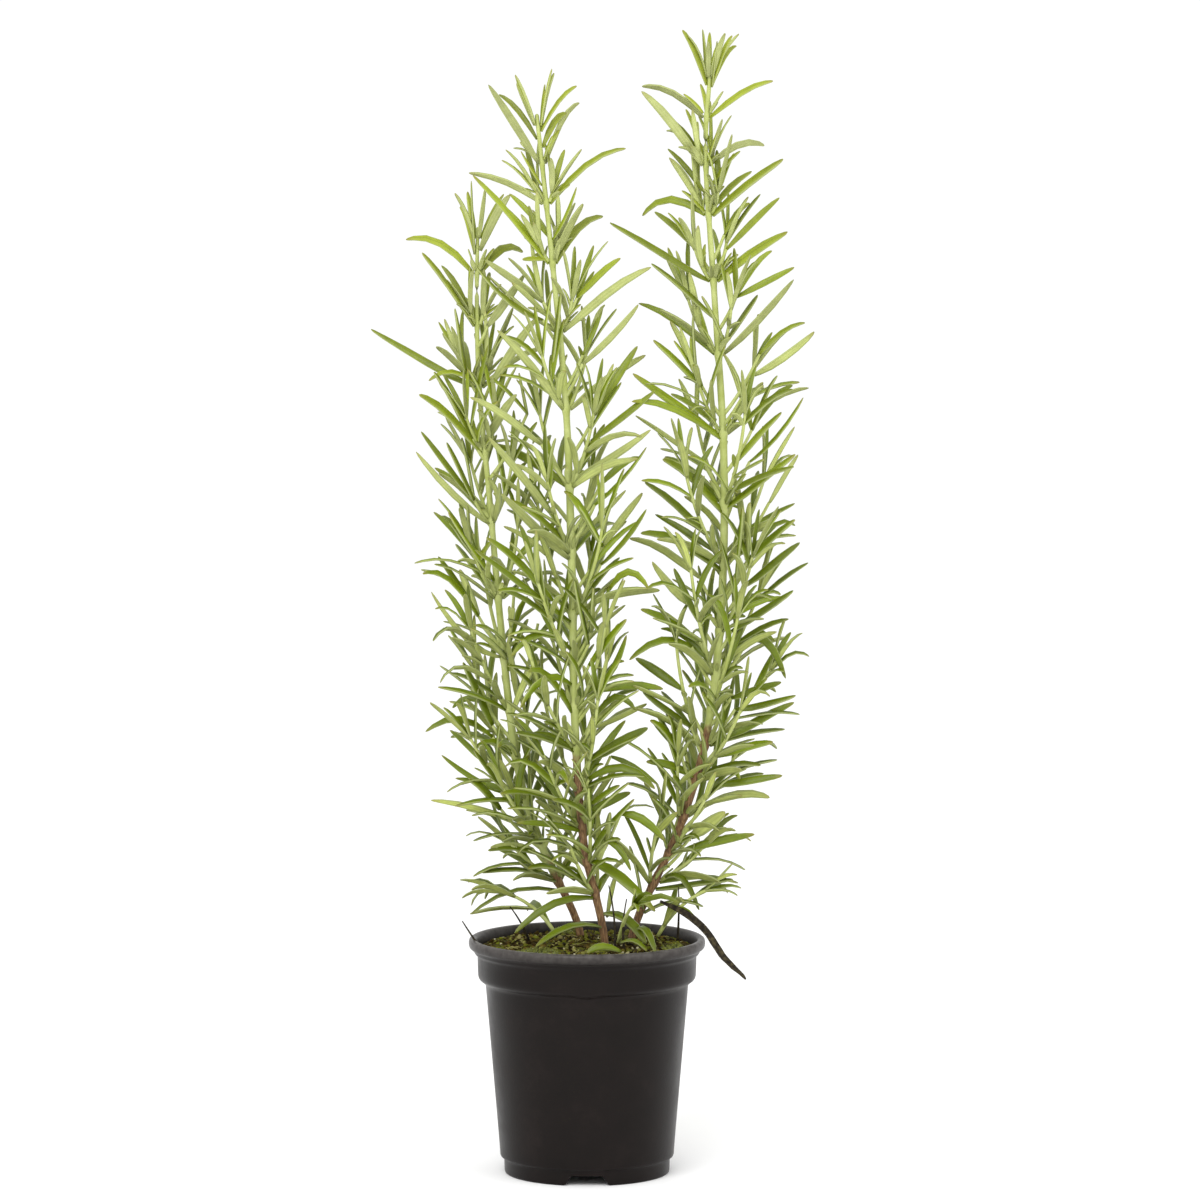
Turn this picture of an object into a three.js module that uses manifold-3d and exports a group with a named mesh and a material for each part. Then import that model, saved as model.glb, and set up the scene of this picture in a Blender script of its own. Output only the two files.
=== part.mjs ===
// A potted rosemary: three leafy stems and a few young shoots in a black nursery pot of moist peat.
//
// Millimetres, +Z up. The origin is the middle of the pot's foot, on the surface it stands on.
// The pot and the peat are turned shapes. Each stem is a six-sided rod that follows a route. Its
// leaves sit on it in crossed pairs: a pair of long leaves and the two side sprigs in their axils
// share one thin collar round the stem, and that tier is one solid.

import * as THREE from 'three';
import { mergeVertices } from 'three/addons/utils/BufferGeometryUtils.js';
import Module from 'manifold-3d';

const wasm = await Module();
wasm.setup();

// ---------------------------------------------------------------- driving dimensions, mm

const GAP = 0.3; // air kept between neighbouring solids

const POT_HEIGHT = 120;
const POT_SIDES = 36;
const RIM_RADIUS = 60;
const RIM_DEPTH = 4.8; // height of the rolled rim's outer face
const COLLAR_RADIUS = 55.6; // straight band under the rim
const COLLAR_FOOT = 102; // where the band steps in to the tapered wall
const WALL_TOP_RADIUS = 51.4;
const WALL_FOOT_RADIUS = 44.2;
const FOOT_RADIUS = 42;
const WALL = 1.1;
const WALL_TOP = 96; // heights at which the tapered wall ends
const WALL_BOTTOM = 10;
const COLLAR_SPRING = 106; // heights between which the band is straight
const COLLAR_TOP = 111;
const RIM_WIDTH = 4; // of the rim's flat top
const FOOT_RING_HEIGHT = 6;
const FOOT_RING_WALL = 1.4;
const FLOOR_HEIGHT = 5.6; // the floor's underside, above the table
const FOOT_FACE_RADIUS = 40.9; // middle of the ring that the pot stands on

const NOTCHES = 3; // gaps in the foot ring that let water run out
const NOTCH_TOP = 15;
const NOTCH_BOTTOM = 23;
const NOTCH_HEIGHT = 5;
const NOTCH_LENGTH = 14; // of the cut, across the foot ring
const DRAIN_HOLES = 6;
const DRAIN_RADIUS = 4.5;
const DRAIN_CIRCLE = 26;
const DRAIN_DEPTH = 6;
const DRAIN_SIDES = 12;

const SOIL_EDGE = 115.5; // peat level at the wall
const SOIL_CROWN = 117; // peat level round the stems
const PEAT_AIR = 0.4; // between the peat and the pot's inside
const PEAT_SHOULDER = 1.5; // rounding where the peat's top meets the wall
const MOUND_RADII = [40, 22, 0]; // rings of the peat's domed top
const BORE_AIR = 0.35; // between the peat and what stands in it

const STEM_FOOT = 60; // height of the stems' buried ends
const ROOT_SECTIONS = [STEM_FOOT, 90, SOIL_CROWN - 3, SOIL_CROWN + 4]; // heights, lowest part of a stem

const COLLAR_HEIGHT = 4; // of the thin collar that carries one tier of leaves
const COLLAR_WALL = 0.8;
const TUFT_DEPTH = 5; // of the tip leaves' collar below a stem's end
const STEM_SIDES = 6;
const COLLAR_AIR = 0.37; // between a stem's corners and the collar round it

const TWIG_RADIUS = 0.9;
const LEAF_DEPTH = 0.8; // how far a leaf's ridge and edges stand off its middle
const LONG_LEAF_LENGTH = 34; // from this length on a leaf has two sections between its ends
const LONG_LEAF_SECTIONS = [0.33, 0.67]; // shares of the length
const SHORT_LEAF_SECTIONS = [0.5];
const SMALLEST_SOLID_LEAF = 30; // a sprig's shorter leaves are too slight for solids of their own
const CLEARANCE = 1.1; // air that growing parts keep between each other's outlines
const LEAF_SLIMNESS = 0.4; // share of a leaf's width that neighbours keep clear of
const OUTLINE_STEP = 3; // spacing of the spheres that stand for an outline
const TURNS = [0, 14, -14, 28, -28, 42, -42, 60, -60]; // degrees, tried when something is in the way

// How the plant grows. A pair of numbers is a range from which each leaf or twig draws its own
// value. Angles are in degrees; a tilt is the angle from the stem or twig that bears the leaf, and
// a bend is what the tip tilts more than the base.
const PAIR_LEAF = {
  stray: [-20, 20],
  tilt: [34, 48],
  bend: [14, 34],
  sweep: [-22, 22],
  length: [46, 60],
  width: [4, 5.4],
  roll: [-45, 45],
  skip: 7, // length at the base that may touch the leaf's own collar
};
const AGEING = { depth: 330, tilt: 14, length: 0.22, width: 0.4 }; // what the oldest wood adds or takes
const SPRIG = {
  length: [0.8, 1.12],
  stray: [-12, 12],
  tilt: [26, 36],
  tipTilt: [8, 18],
  leastDepth: 30, // below the stem's tip
  growth: 0.26, // length for each millimetre of depth below the youngest sprig
  youngest: 32,
  shortest: 5,
  longest: 56,
  lowest: 26, // length at the peat, and what each millimetre above it adds
  rise: 0.3,
  leaf: 27,
  olderLeaf: 6, // what the leaves gain in length over the depth below
  olderDepth: 120,
  pairSpacing: 11,
};
const SPRIG_LEAF = {
  stray: [-18, 18],
  tilt: [26, 40],
  bend: [8, 34],
  sweep: [-20, 20],
  length: [0.85, 1.12],
  width: [3.3, 4.3],
  roll: [-40, 40],
  skip: 4,
  foot: 1.08, // share of the sprig's leaf length at its foot, and what is lost towards its tip
  taper: 0.32,
};
const SPRIG_TIP_LEAF = {
  count: 4,
  place: 0.93, // share of the twig's length
  stray: [-15, 15],
  tilt: [9, 19],
  bend: [4, 18],
  sweep: [-15, 15],
  length: [0.5, 0.74],
  width: [2.7, 3.4],
  roll: [-30, 30],
  skip: 4,
};
const TUFT_LEAF = {
  count: 8, // an outer and an inner one by turns
  stray: [-10, 10],
  baseTilt: [14, 5],
  tilt: [0, 6],
  bend: [4, 22],
  sweep: [-12, 12],
  baseLength: [27, 20],
  length: [0.85, 1.1],
  width: [2.8, 3.6],
  roll: [-20, 20],
  skip: 7,
};

// Each stem: its route from the peat up, the heights of its leaf pairs, and how it grew. `crown`
// gives the long leaves that draw the outline of its upper part: for a tier's number, how far each
// leaf's tip is from its base in x, y and z, and how far the leaf arches above the straight line.
const STEMS = {
  right: {
    route: [[20, 18, 60], [23, 18, 118], [47, 14, 174], [61, 8, 224], [68, 4, 289],
      [69, 2, 365], [64, 0, 447], [59.5, 0, 519], [62, 0, 560]],
    tiers: [146, 162, 180, 199, 217, 236, 254, 276, 311, 341, 376, 416, 453, 486, 511, 535],
    crown: {
      16: [[-31, 14, 17, 4], [31, -12, 21, 2]],
      15: [[-30, -15, 39, 1], [29, 16, 12, 4]],
      14: [[-35, 14, 2, 7], [35, -16, 28, 2]],
      13: [[-49, -14, 33, -2], [36, 20, 24, 2]],
      12: [[-38, 18, 27, 3], [35, -22, 39, -2]],
      11: [[-44, -16, 22, 2], [41, 14, 27, 2]],
    },
    footRadius: 2.6,
    tipRadius: 1.1,
    turn: 23,
    seed: 1,
  },
  middle: {
    route: [[9, 0, 60], [9, 0, 118], [-1.5, -2, 168], [-6, -6, 229], [-7.5, -8, 305],
      [-10.5, -8, 390], [-18, -8, 470], [-25, -8, 536]],
    tiers: [143, 159, 177, 197, 217, 238, 260, 286, 317, 350, 389, 428, 462, 492, 512],
    crown: {
      15: [[-25, -12, 39, 1], [16, 14, 34, 3]],
      14: [[-37, 16, 14, 4], [38, -12, 30, 5]],
      13: [[-37, -14, 46, 1], [24, 18, 24, 6]],
      12: [[-34, 18, 28, -2], [43, -16, 36, 1]],
      11: [[-32, -24, 42, 2], [38, 18, 26, 2]],
    },
    footRadius: 2.5,
    tipRadius: 1.1,
    turn: 48,
    seed: 11,
  },
  left: {
    route: [[-2, 28, 60], [-3.6, 28, 118], [-22, 22, 161], [-35, 16, 204], [-43.5, 12, 276],
      [-49, 10, 340], [-54.5, 10, 400], [-55.5, 10, 445], [-55, 10, 479]],
    tiers: [146, 166, 187, 211, 235, 261, 292, 331, 366, 399, 430, 456],
    crown: {
      12: [[-34, -8, 18, 7], [23, 16, 12, 7]],
      11: [[-25, -18, 39, 1], [26, -14, 24, 2]],
      10: [[-52, 10, 32, -3], [30, 16, 22, 2]],
      9: [[-30, -20, 34, 2], [30, -18, 20, 3]],
    },
    footRadius: 2.2,
    tipRadius: 1,
    turn: 30,
    seed: 14,
  },
};

// Young shoots that come straight out of the peat, with angles in degrees.
const SHOOTS = {
  front: { foot: [16, -16], lean: -70, tilt: 48, length: 34, pairs: 3, seed: 5 },
  right: { foot: [36, 4], lean: 5, tilt: 50, length: 38, pairs: 3, seed: 6 },
  left: { foot: [-16, 12], lean: 165, tilt: 58, length: 40, pairs: 3, seed: 7 },
};

const SHOOT_RADIUS = 1.1;
const SHOOT_FOOT = 105; // height of a shoot's buried end
const SHOOT_NECK = SOIL_CROWN + 5; // height where its foot ends
const SHOOT_BASE = SOIL_CROWN + 3; // height where its twig begins
const SHOOT_BEND = [0.55, 1.35]; // shares of its tilt, at the foot and at the tip
const SHOOT_LEAF = 25;

// A withered leaf that lies over the rim.
const WITHERED_ROUTE = [
  [37, -4, 139],
  [50, -9, 133],
  [60, -15, 124.5],
  [71, -20, 113],
  [80, -23, 102],
];
const WITHERED_WIDTH = 3.4;
const WITHERED_DEPTH = 0.8; // half of its thickness

const MOSS = {
  front_left: { place: [-25, -33], radius: 11 },
  right: { place: [44, -14], radius: 6.5 },
  back: { place: [-12, 44], radius: 8 },
};
const MOSS_HEIGHT = 1.8;
const MOSS_BELLY = 0.25; // how far a cushion reaches down from its edge
const MOSS_SEAT = 0.45; // height of that edge above the air over the peat
const MOSS_SIDES = 10;
const MOSS_RINGS = 4;

// ---------------------------------------------------------------- materials

function finish(color, roughness) {
  return new THREE.MeshStandardMaterial({ color, roughness, metalness: 0 });
}

const POLYPROPYLENE = [0x2b2827, 0.5];
const PEAT = [0x35301a, 0.95];
const MOSS_GREEN = [0x676b25, 0.95];
const BARK = [0x8a7a45, 0.8];
const LEAF = [0x7f8c3c, 0.6];
const WITHERED = [0x3a3826, 0.85];

// ---------------------------------------------------------------- solids

const radians = THREE.MathUtils.degToRad;

// Moves each point of a unit shape to where `place` puts it. The shape's seam is joined first.
function shaped(unitShape, place) {
  unitShape.deleteAttribute('normal');
  unitShape.deleteAttribute('uv');
  const geometry = mergeVertices(unitShape);
  const points = geometry.attributes.position;
  const point = new THREE.Vector3();
  for (let i = 0; i < points.count; i += 1) {
    point.fromBufferAttribute(points, i);
    const placed = place(point);
    points.setXYZ(i, placed.x, placed.y, placed.z);
  }
  return geometry;
}

function toSolid(geometry) {
  const vertProperties = Float32Array.from(geometry.attributes.position.array);
  const triVerts = Uint32Array.from(geometry.index.array);
  return new wasm.Manifold(new wasm.Mesh({ numProp: 3, vertProperties, triVerts }));
}

function toGeometry(solid) {
  const { vertProperties, triVerts } = solid.getMesh();
  const geometry = new THREE.BufferGeometry();
  geometry.setAttribute('position', new THREE.BufferAttribute(vertProperties, 3));
  geometry.setIndex(new THREE.BufferAttribute(triVerts, 1));
  return geometry;
}

function joined(solids) {
  return solids.reduce((whole, solid) => whole.add(solid));
}

// A shape turned about Z from a profile of [radius, height] points.
function turned(profile, sides) {
  const outline = profile.map(([radius, height]) => new THREE.Vector2(radius, height));
  const lathe = new THREE.LatheGeometry(outline, sides);
  return shaped(lathe, (p) => new THREE.Vector3(p.x, -p.z, p.y));
}

// ---------------------------------------------------------------- routes and bows

// A stem's middle at a height: smooth curves through the route's points, with height as the measure.
function routePoint(route, height) {
  const last = route.length - 2;
  let i = 0;
  while (i < last && height > route[i + 1][2]) i += 1;
  const [low, high] = [route[i], route[i + 1]];
  const before = route[Math.max(i - 1, 0)];
  const after = route[Math.min(i + 2, route.length - 1)];
  const span = high[2] - low[2];
  const t = (height - low[2]) / span;
  const along = [0, 1].map((axis) => {
    const startSlope = (high[axis] - before[axis]) / (high[2] - before[2]);
    const endSlope = (after[axis] - low[axis]) / (after[2] - low[2]);
    return (2 * t ** 3 - 3 * t ** 2 + 1) * low[axis]
      + (t ** 3 - 2 * t ** 2 + t) * span * startSlope
      + (3 * t ** 2 - 2 * t ** 3) * high[axis]
      + (t ** 3 - t ** 2) * span * endSlope;
  });
  return new THREE.Vector3(along[0], along[1], height);
}

function stemTip(stem) {
  return stem.route[stem.route.length - 1][2];
}

function stemRadius(stem, height) {
  const t = (height - STEM_FOOT) / (stemTip(stem) - STEM_FOOT);
  return stem.footRadius + (stem.tipRadius - stem.footRadius) * t;
}

// Where a leaf's base sits in the collar's wall, at the node's own level.
function seatPoint(stem, height, azimuth) {
  const bore = stemRadius(stem, height) + COLLAR_AIR;
  const reach = (bore + (bore + COLLAR_WALL) * Math.cos(Math.PI / STEM_SIDES)) / 2;
  const seat = routePoint(stem.route, height);
  return seat.add(new THREE.Vector3(reach * Math.cos(azimuth), reach * Math.sin(azimuth), 0));
}

// Three directions at a node: along the stem, out from it at an azimuth, and sideways.
function nodeFrame(axis, azimuth) {
  const along = axis.clone().normalize();
  const out = new THREE.Vector3(Math.cos(azimuth), Math.sin(azimuth), 0);
  out.addScaledVector(along, -out.dot(along)).normalize();
  return { along, out, side: along.clone().cross(out) };
}

function stemFrame(stem, height, azimuth) {
  const axis = routePoint(stem.route, height + 2).sub(routePoint(stem.route, height - 2));
  return nodeFrame(axis, azimuth);
}

// The direction that leans from a frame's axis by `tilt`, turned sideways about the axis by `turn`.
function leaning(frame, tilt, turn) {
  const direction = frame.along.clone().multiplyScalar(Math.cos(tilt));
  direction.addScaledVector(frame.out, Math.sin(tilt) * Math.cos(turn));
  direction.addScaledVector(frame.side, Math.sin(tilt) * Math.sin(turn));
  return direction;
}

// A leaf or twig leaves its base in one direction and bends to a second by its tip.
function makeBow(base, startDirection, endDirection, length) {
  const middle = base.clone().addScaledVector(startDirection, length / 2);
  const tip = middle.clone().addScaledVector(endDirection, length / 2);
  return { base, middle, tip, length };
}

function bowPoint(bow, t) {
  const point = bow.base.clone().multiplyScalar((1 - t) ** 2);
  point.addScaledVector(bow.middle, 2 * t * (1 - t));
  return point.addScaledVector(bow.tip, t ** 2);
}

function bowDirection(bow, t) {
  const direction = bow.middle.clone().sub(bow.base).multiplyScalar(1 - t);
  return direction.addScaledVector(bow.tip.clone().sub(bow.middle), t).normalize();
}

// ---------------------------------------------------------------- keeping clear

// Everything that has grown so far, as small spheres sorted into boxes.
const BOX = 6;
const STEPS = [-1, 0, 1];
const NEIGHBOURS = STEPS.flatMap((dx) => STEPS.flatMap((dy) => STEPS.map((dz) => [dx, dy, dz])));
const grown = new Map();

function boxKey(x, y, z) {
  return `${x},${y},${z}`;
}

function remember(spheres, owner) {
  for (const { centre, radius } of spheres) {
    const key = boxKey(...centre.toArray().map((value) => Math.floor(value / BOX)));
    if (!grown.has(key)) grown.set(key, []);
    grown.get(key).push({ centre, radius, owner });
  }
}

function isClear(spheres, owner) {
  for (const { centre, radius } of spheres) {
    const [x, y, z] = centre.toArray().map((value) => Math.floor(value / BOX));
    for (const [dx, dy, dz] of NEIGHBOURS) {
      for (const other of grown.get(boxKey(x + dx, y + dy, z + dz)) ?? []) {
        const reach = radius + other.radius + CLEARANCE;
        const near = centre.distanceToSquared(other.centre) < reach ** 2;
        if (near && other.owner !== owner) return false;
      }
    }
  }
  return true;
}

// Spheres along a bow, from `start` millimetres on.
function bowSpheres(bow, radius, start) {
  const steps = Math.ceil(bow.length / OUTLINE_STEP);
  const spheres = [];
  for (let i = 0; i <= steps; i += 1) {
    const t = i / steps;
    if (t * bow.length >= start) spheres.push({ centre: bowPoint(bow, t), radius });
  }
  return spheres;
}

// ---------------------------------------------------------------- growing

// Repeatable draws from a range: the multiplier and modulus of Park and Miller.
const MULTIPLIER = 16807;
const MODULUS = 2147483647;

function makeRandom(seed) {
  let state = seed;
  return (low, high) => {
    state = (state * MULTIPLIER) % MODULUS;
    return low + ((high - low) * state) / MODULUS;
  };
}

// A crown leaf's bow, from its base to a tip given as [x, y, z, arch].
function crownBow(frame, base, [x, y, z, arch]) {
  const tip = base.clone().add(new THREE.Vector3(x, y, z));
  const middle = base.clone().lerp(tip, 0.5).addScaledVector(frame.along, 2 * arch);
  return { base, middle, tip, length: base.distanceTo(tip) };
}

// Adds a leaf to a tier if it finds room. `tilts` are its angles from the axis at base and tip.
function growLeaf(tier, frame, base, leaf) {
  const { width, roll, solid } = leaf;
  for (const turn of TURNS) {
    const start = leaning(frame, leaf.tilts[0], leaf.turn + radians(turn));
    const end = leaning(frame, leaf.tilts[1], leaf.turn + radians(turn) + leaf.sweep);
    const natural = makeBow(base, start, end, leaf.length);
    const bow = leaf.crown ? crownBow(frame, base, leaf.crown) : natural;
    const spheres = bowSpheres(bow, width * LEAF_SLIMNESS, leaf.skip);
    if (isClear(spheres, tier.name)) {
      remember(spheres, tier.name);
      tier.leaves.push({ bow, axis: frame.along, width, roll, solid });
      return;
    }
  }
}

// The leaves of a sprig: crossed pairs along its twig, and a tuft at its tip.
function sprigLeaves(sprig, random) {
  const leaves = [];
  for (let pair = 0; pair < sprig.pairs; pair += 1) {
    const place = (pair + 0.5) / (sprig.pairs + 0.3);
    for (const half of [0, 1]) {
      const tilt = random(...SPRIG_LEAF.tilt);
      const share = SPRIG_LEAF.foot - SPRIG_LEAF.taper * place;
      leaves.push({
        place,
        turn: radians(90 * ((pair + 1) % 2) + 180 * half + random(...SPRIG_LEAF.stray)),
        tilts: [radians(tilt), radians(tilt + random(...SPRIG_LEAF.bend))],
        sweep: radians(random(...SPRIG_LEAF.sweep)),
        length: sprig.leaf * share * random(...SPRIG_LEAF.length),
        width: random(...SPRIG_LEAF.width),
        roll: radians(random(...SPRIG_LEAF.roll)),
        skip: SPRIG_LEAF.skip,
      });
    }
  }
  for (const leaf of leaves) leaf.solid = leaf.length >= SMALLEST_SOLID_LEAF;
  for (let k = 0; k < SPRIG_TIP_LEAF.count; k += 1) {
    const tilt = random(...SPRIG_TIP_LEAF.tilt);
    leaves.push({
      place: SPRIG_TIP_LEAF.place,
      turn: radians(90 * k + 45 * (sprig.pairs % 2) + random(...SPRIG_TIP_LEAF.stray)),
      tilts: [radians(tilt), radians(tilt + random(...SPRIG_TIP_LEAF.bend))],
      sweep: radians(random(...SPRIG_TIP_LEAF.sweep)),
      length: sprig.leaf * random(...SPRIG_TIP_LEAF.length),
      width: random(...SPRIG_TIP_LEAF.width),
      roll: radians(random(...SPRIG_TIP_LEAF.roll)),
      skip: SPRIG_TIP_LEAF.skip,
      solid: false,
    });
  }
  return leaves;
}

// Adds a twig and its leaves to a tier if the twig finds room.
function growSprig(tier, frame, base, sprig, random) {
  const leaves = sprigLeaves(sprig, random);
  const places = [...new Set(leaves.map((leaf) => leaf.place))];
  for (const turn of TURNS) {
    const start = leaning(frame, sprig.tilts[0], sprig.turn + radians(turn));
    const end = leaning(frame, sprig.tilts[1], sprig.turn + radians(turn));
    const bow = makeBow(base, start, end, sprig.length);
    const spheres = bowSpheres(bow, TWIG_RADIUS, sprig.skip);
    if (isClear(spheres, tier.name)) {
      remember(spheres, tier.name);
      tier.twigs.push({ bow, axis: frame.side, places });
      for (const leaf of leaves) {
        const along = bowDirection(bow, leaf.place);
        const out = frame.out.clone().addScaledVector(along, -frame.out.dot(along));
        out.normalize();
        const twigFrame = { along, out, side: along.clone().cross(out) };
        growLeaf(tier, twigFrame, bowPoint(bow, leaf.place), leaf);
      }
      return;
    }
  }
}

// Length of the sprigs at a node: more with depth below the tip, less close to the peat.
function sprigLength(depth, height) {
  const grownOut = SPRIG.growth * (depth - SPRIG.youngest);
  const shaded = SPRIG.lowest + SPRIG.rise * (height - SOIL_CROWN);
  return Math.max(Math.min(grownOut, SPRIG.longest, shaded), SPRIG.shortest);
}

// One pair of long leaves and the sprigs in their axils.
function growTier(stemName, stem, index, random) {
  const height = stem.tiers[index];
  const name = `${stemName}_tier_${String(index + 1).padStart(2, '0')}`;
  const tier = { name, height, leaves: [], twigs: [] };
  const depth = stemTip(stem) - height;
  const age = Math.min(depth / AGEING.depth, 1); // 0 at the tip, 1 on the old wood
  for (const half of [0, 1]) {
    const crossed = stem.turn + 90 * index + 180 * half;
    const natural = radians(crossed + random(...PAIR_LEAF.stray));
    const crown = stem.crown[index + 1]?.[half];
    const azimuth = crown ? Math.atan2(crown[1], crown[0]) : natural;
    const frame = stemFrame(stem, height, azimuth);
    const tilt = random(...PAIR_LEAF.tilt) + AGEING.tilt * age;
    growLeaf(tier, frame, seatPoint(stem, height, azimuth), {
      turn: 0,
      tilts: [radians(tilt), radians(tilt + random(...PAIR_LEAF.bend))],
      sweep: radians(random(...PAIR_LEAF.sweep)),
      length: random(...PAIR_LEAF.length) * (1 - AGEING.length * age),
      width: random(...PAIR_LEAF.width) - AGEING.width * age,
      roll: radians(random(...PAIR_LEAF.roll)),
      skip: PAIR_LEAF.skip,
      solid: true,
      crown,
    });
    const sprig = {
      length: sprigLength(depth, height) * random(...SPRIG.length),
      turn: radians(random(...SPRIG.stray)),
      tilts: [radians(random(...SPRIG.tilt)), radians(random(...SPRIG.tipTilt))],
      pairs: 0,
      leaf: SPRIG.leaf + SPRIG.olderLeaf * Math.min(depth / SPRIG.olderDepth, 1),
      skip: PAIR_LEAF.skip,
    };
    sprig.pairs = Math.round(sprig.length / SPRIG.pairSpacing - 0.3);
    const axil = seatPoint(stem, height, azimuth).addScaledVector(frame.along, 1);
    if (depth > SPRIG.leastDepth) growSprig(tier, frame, axil, sprig, random);
  }
  return tier;
}

// The upright young leaves round a stem's growing point.
function growTuft(stemName, stem, random) {
  const height = stemTip(stem) - TUFT_DEPTH;
  const tier = { name: `${stemName}_tip_leaves`, height, leaves: [], twigs: [] };
  for (let k = 0; k < TUFT_LEAF.count; k += 1) {
    const spacing = 360 / TUFT_LEAF.count;
    const azimuth = radians(stem.turn + spacing * k + random(...TUFT_LEAF.stray));
    const frame = stemFrame(stem, height, azimuth);
    const base = seatPoint(stem, height, azimuth);
    const tilt = TUFT_LEAF.baseTilt[k % 2] + random(...TUFT_LEAF.tilt);
    growLeaf(tier, frame, base, {
      turn: 0,
      tilts: [radians(tilt), radians(tilt + random(...TUFT_LEAF.bend))],
      sweep: radians(random(...TUFT_LEAF.sweep)),
      length: TUFT_LEAF.baseLength[k % 2] * random(...TUFT_LEAF.length),
      width: random(...TUFT_LEAF.width),
      roll: radians(random(...TUFT_LEAF.roll)),
      skip: TUFT_LEAF.skip,
      solid: true,
    });
  }
  return tier;
}

// ---------------------------------------------------------------- leaves, twigs and collars as solids

// A three-sided spindle on a bow: a point at each end, and a section at each of the given places
// (shares of the bow's length) between them, with the given half sizes sideways and up.
function spindle(bow, axis, roll, places, halfWidth, halfDepth) {
  const stations = [0, ...places, 1];
  const unit = new THREE.SphereGeometry(1, 3, places.length + 1);
  return toSolid(shaped(unit, (p) => {
    const polar = Math.acos(THREE.MathUtils.clamp(p.y, -1, 1)) / Math.PI;
    const t = stations[Math.round(polar * (places.length + 1))];
    const along = bowDirection(bow, t);
    const up = axis.clone().addScaledVector(along, -axis.dot(along)).normalize();
    up.applyAxisAngle(along, roll);
    const side = along.clone().cross(up);
    const ringRadius = Math.hypot(p.x, p.z);
    const point = bowPoint(bow, t);
    if (ringRadius < 1e-3) return point;
    point.addScaledVector(up, (-p.x / ringRadius) * halfDepth);
    return point.addScaledVector(side, (-p.z / ringRadius) * halfWidth);
  }));
}

function leafSolid({ bow, axis, width, roll }) {
  const places = bow.length > LONG_LEAF_LENGTH ? LONG_LEAF_SECTIONS : SHORT_LEAF_SECTIONS;
  return spindle(bow, axis, roll, places, width / 2, LEAF_DEPTH);
}

function twigSolid({ bow, axis, places }) {
  return spindle(bow, axis, 0, places, TWIG_RADIUS, TWIG_RADIUS);
}

// A rod that follows a stem's route through the given heights.
function rod(stem, heights, extra) {
  const unit = new THREE.CylinderGeometry(1, 1, 1, STEM_SIDES, heights.length - 1);
  return shaped(unit, (p) => {
    const height = heights[Math.round((p.y + 0.5) * (heights.length - 1))];
    const middle = routePoint(stem.route, height);
    const radius = stemRadius(stem, height) + extra;
    return new THREE.Vector3(middle.x + p.z * radius, middle.y + p.x * radius, middle.z);
  });
}

function collarSolid(stem, height) {
  const ends = [height - COLLAR_HEIGHT / 2, height + COLLAR_HEIGHT / 2];
  const around = toSolid(rod(stem, ends, COLLAR_AIR + COLLAR_WALL));
  return around.subtract(toSolid(rod(stem, [ends[0] - 1, ends[1] + 1], COLLAR_AIR)));
}

function leavesAndTwigs(tier) {
  const leaves = tier.leaves.filter((leaf) => leaf.solid);
  return [...leaves.map(leafSolid), ...tier.twigs.map(twigSolid)];
}

function tierSolid(stem, tier) {
  return joined([collarSolid(stem, tier.height), ...leavesAndTwigs(tier)]);
}

// ---------------------------------------------------------------- pot

// Up the outside and back down the inside. The small numbers round the edges.
function potProfile() {
  const inside = RIM_RADIUS - RIM_WIDTH;
  return [
    [0, FLOOR_HEIGHT],
    [FOOT_FACE_RADIUS - 0.9, FLOOR_HEIGHT],
    [FOOT_FACE_RADIUS - 0.8, 0],
    [FOOT_FACE_RADIUS + 0.6, 0],
    [FOOT_RADIUS, 0.6],
    [FOOT_RADIUS + 0.2, FOOT_RING_HEIGHT],
    [WALL_FOOT_RADIUS, WALL_BOTTOM],
    [WALL_TOP_RADIUS, WALL_TOP],
    [WALL_TOP_RADIUS + 2.4, COLLAR_FOOT - 2.2],
    [COLLAR_RADIUS - 0.5, COLLAR_FOOT + 0.5],
    [COLLAR_RADIUS, COLLAR_SPRING],
    [COLLAR_RADIUS, COLLAR_TOP],
    [COLLAR_RADIUS + 2, POT_HEIGHT - RIM_DEPTH - 0.4],
    [RIM_RADIUS, POT_HEIGHT - RIM_DEPTH + 0.6],
    [RIM_RADIUS, POT_HEIGHT - 1.2],
    [RIM_RADIUS - 0.9, POT_HEIGHT],
    [inside + 1, POT_HEIGHT],
    [inside, POT_HEIGHT - 1.4],
    [COLLAR_RADIUS - WALL, COLLAR_TOP],
    [COLLAR_RADIUS - WALL, COLLAR_SPRING],
    [COLLAR_RADIUS - WALL - 1.4, COLLAR_FOOT],
    [WALL_TOP_RADIUS - WALL, WALL_TOP],
    [WALL_FOOT_RADIUS - WALL, WALL_BOTTOM],
    [FOOT_RADIUS - FOOT_RING_WALL, FLOOR_HEIGHT + WALL],
    [0, FLOOR_HEIGHT + WALL],
  ];
}

function notchSolid(azimuth) {
  const outline = new THREE.Shape();
  outline.moveTo(-NOTCH_BOTTOM / 2, -1);
  outline.lineTo(NOTCH_BOTTOM / 2, -1);
  outline.lineTo(NOTCH_TOP / 2, NOTCH_HEIGHT);
  outline.lineTo(-NOTCH_TOP / 2, NOTCH_HEIGHT);
  const bar = new THREE.ExtrudeGeometry(outline, { depth: NOTCH_LENGTH, bevelEnabled: false });
  bar.translate(0, 0, FOOT_RADIUS - NOTCH_LENGTH / 2);
  bar.rotateX(Math.PI / 2);
  bar.rotateZ(azimuth);
  return toSolid(shaped(bar, (p) => p.clone()));
}

function drainSolid(x, y) {
  const hole = new THREE.CylinderGeometry(DRAIN_RADIUS, DRAIN_RADIUS, DRAIN_DEPTH, DRAIN_SIDES);
  hole.rotateX(Math.PI / 2);
  hole.translate(x, y, FLOOR_HEIGHT);
  return toSolid(shaped(hole, (p) => p.clone()));
}

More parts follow.
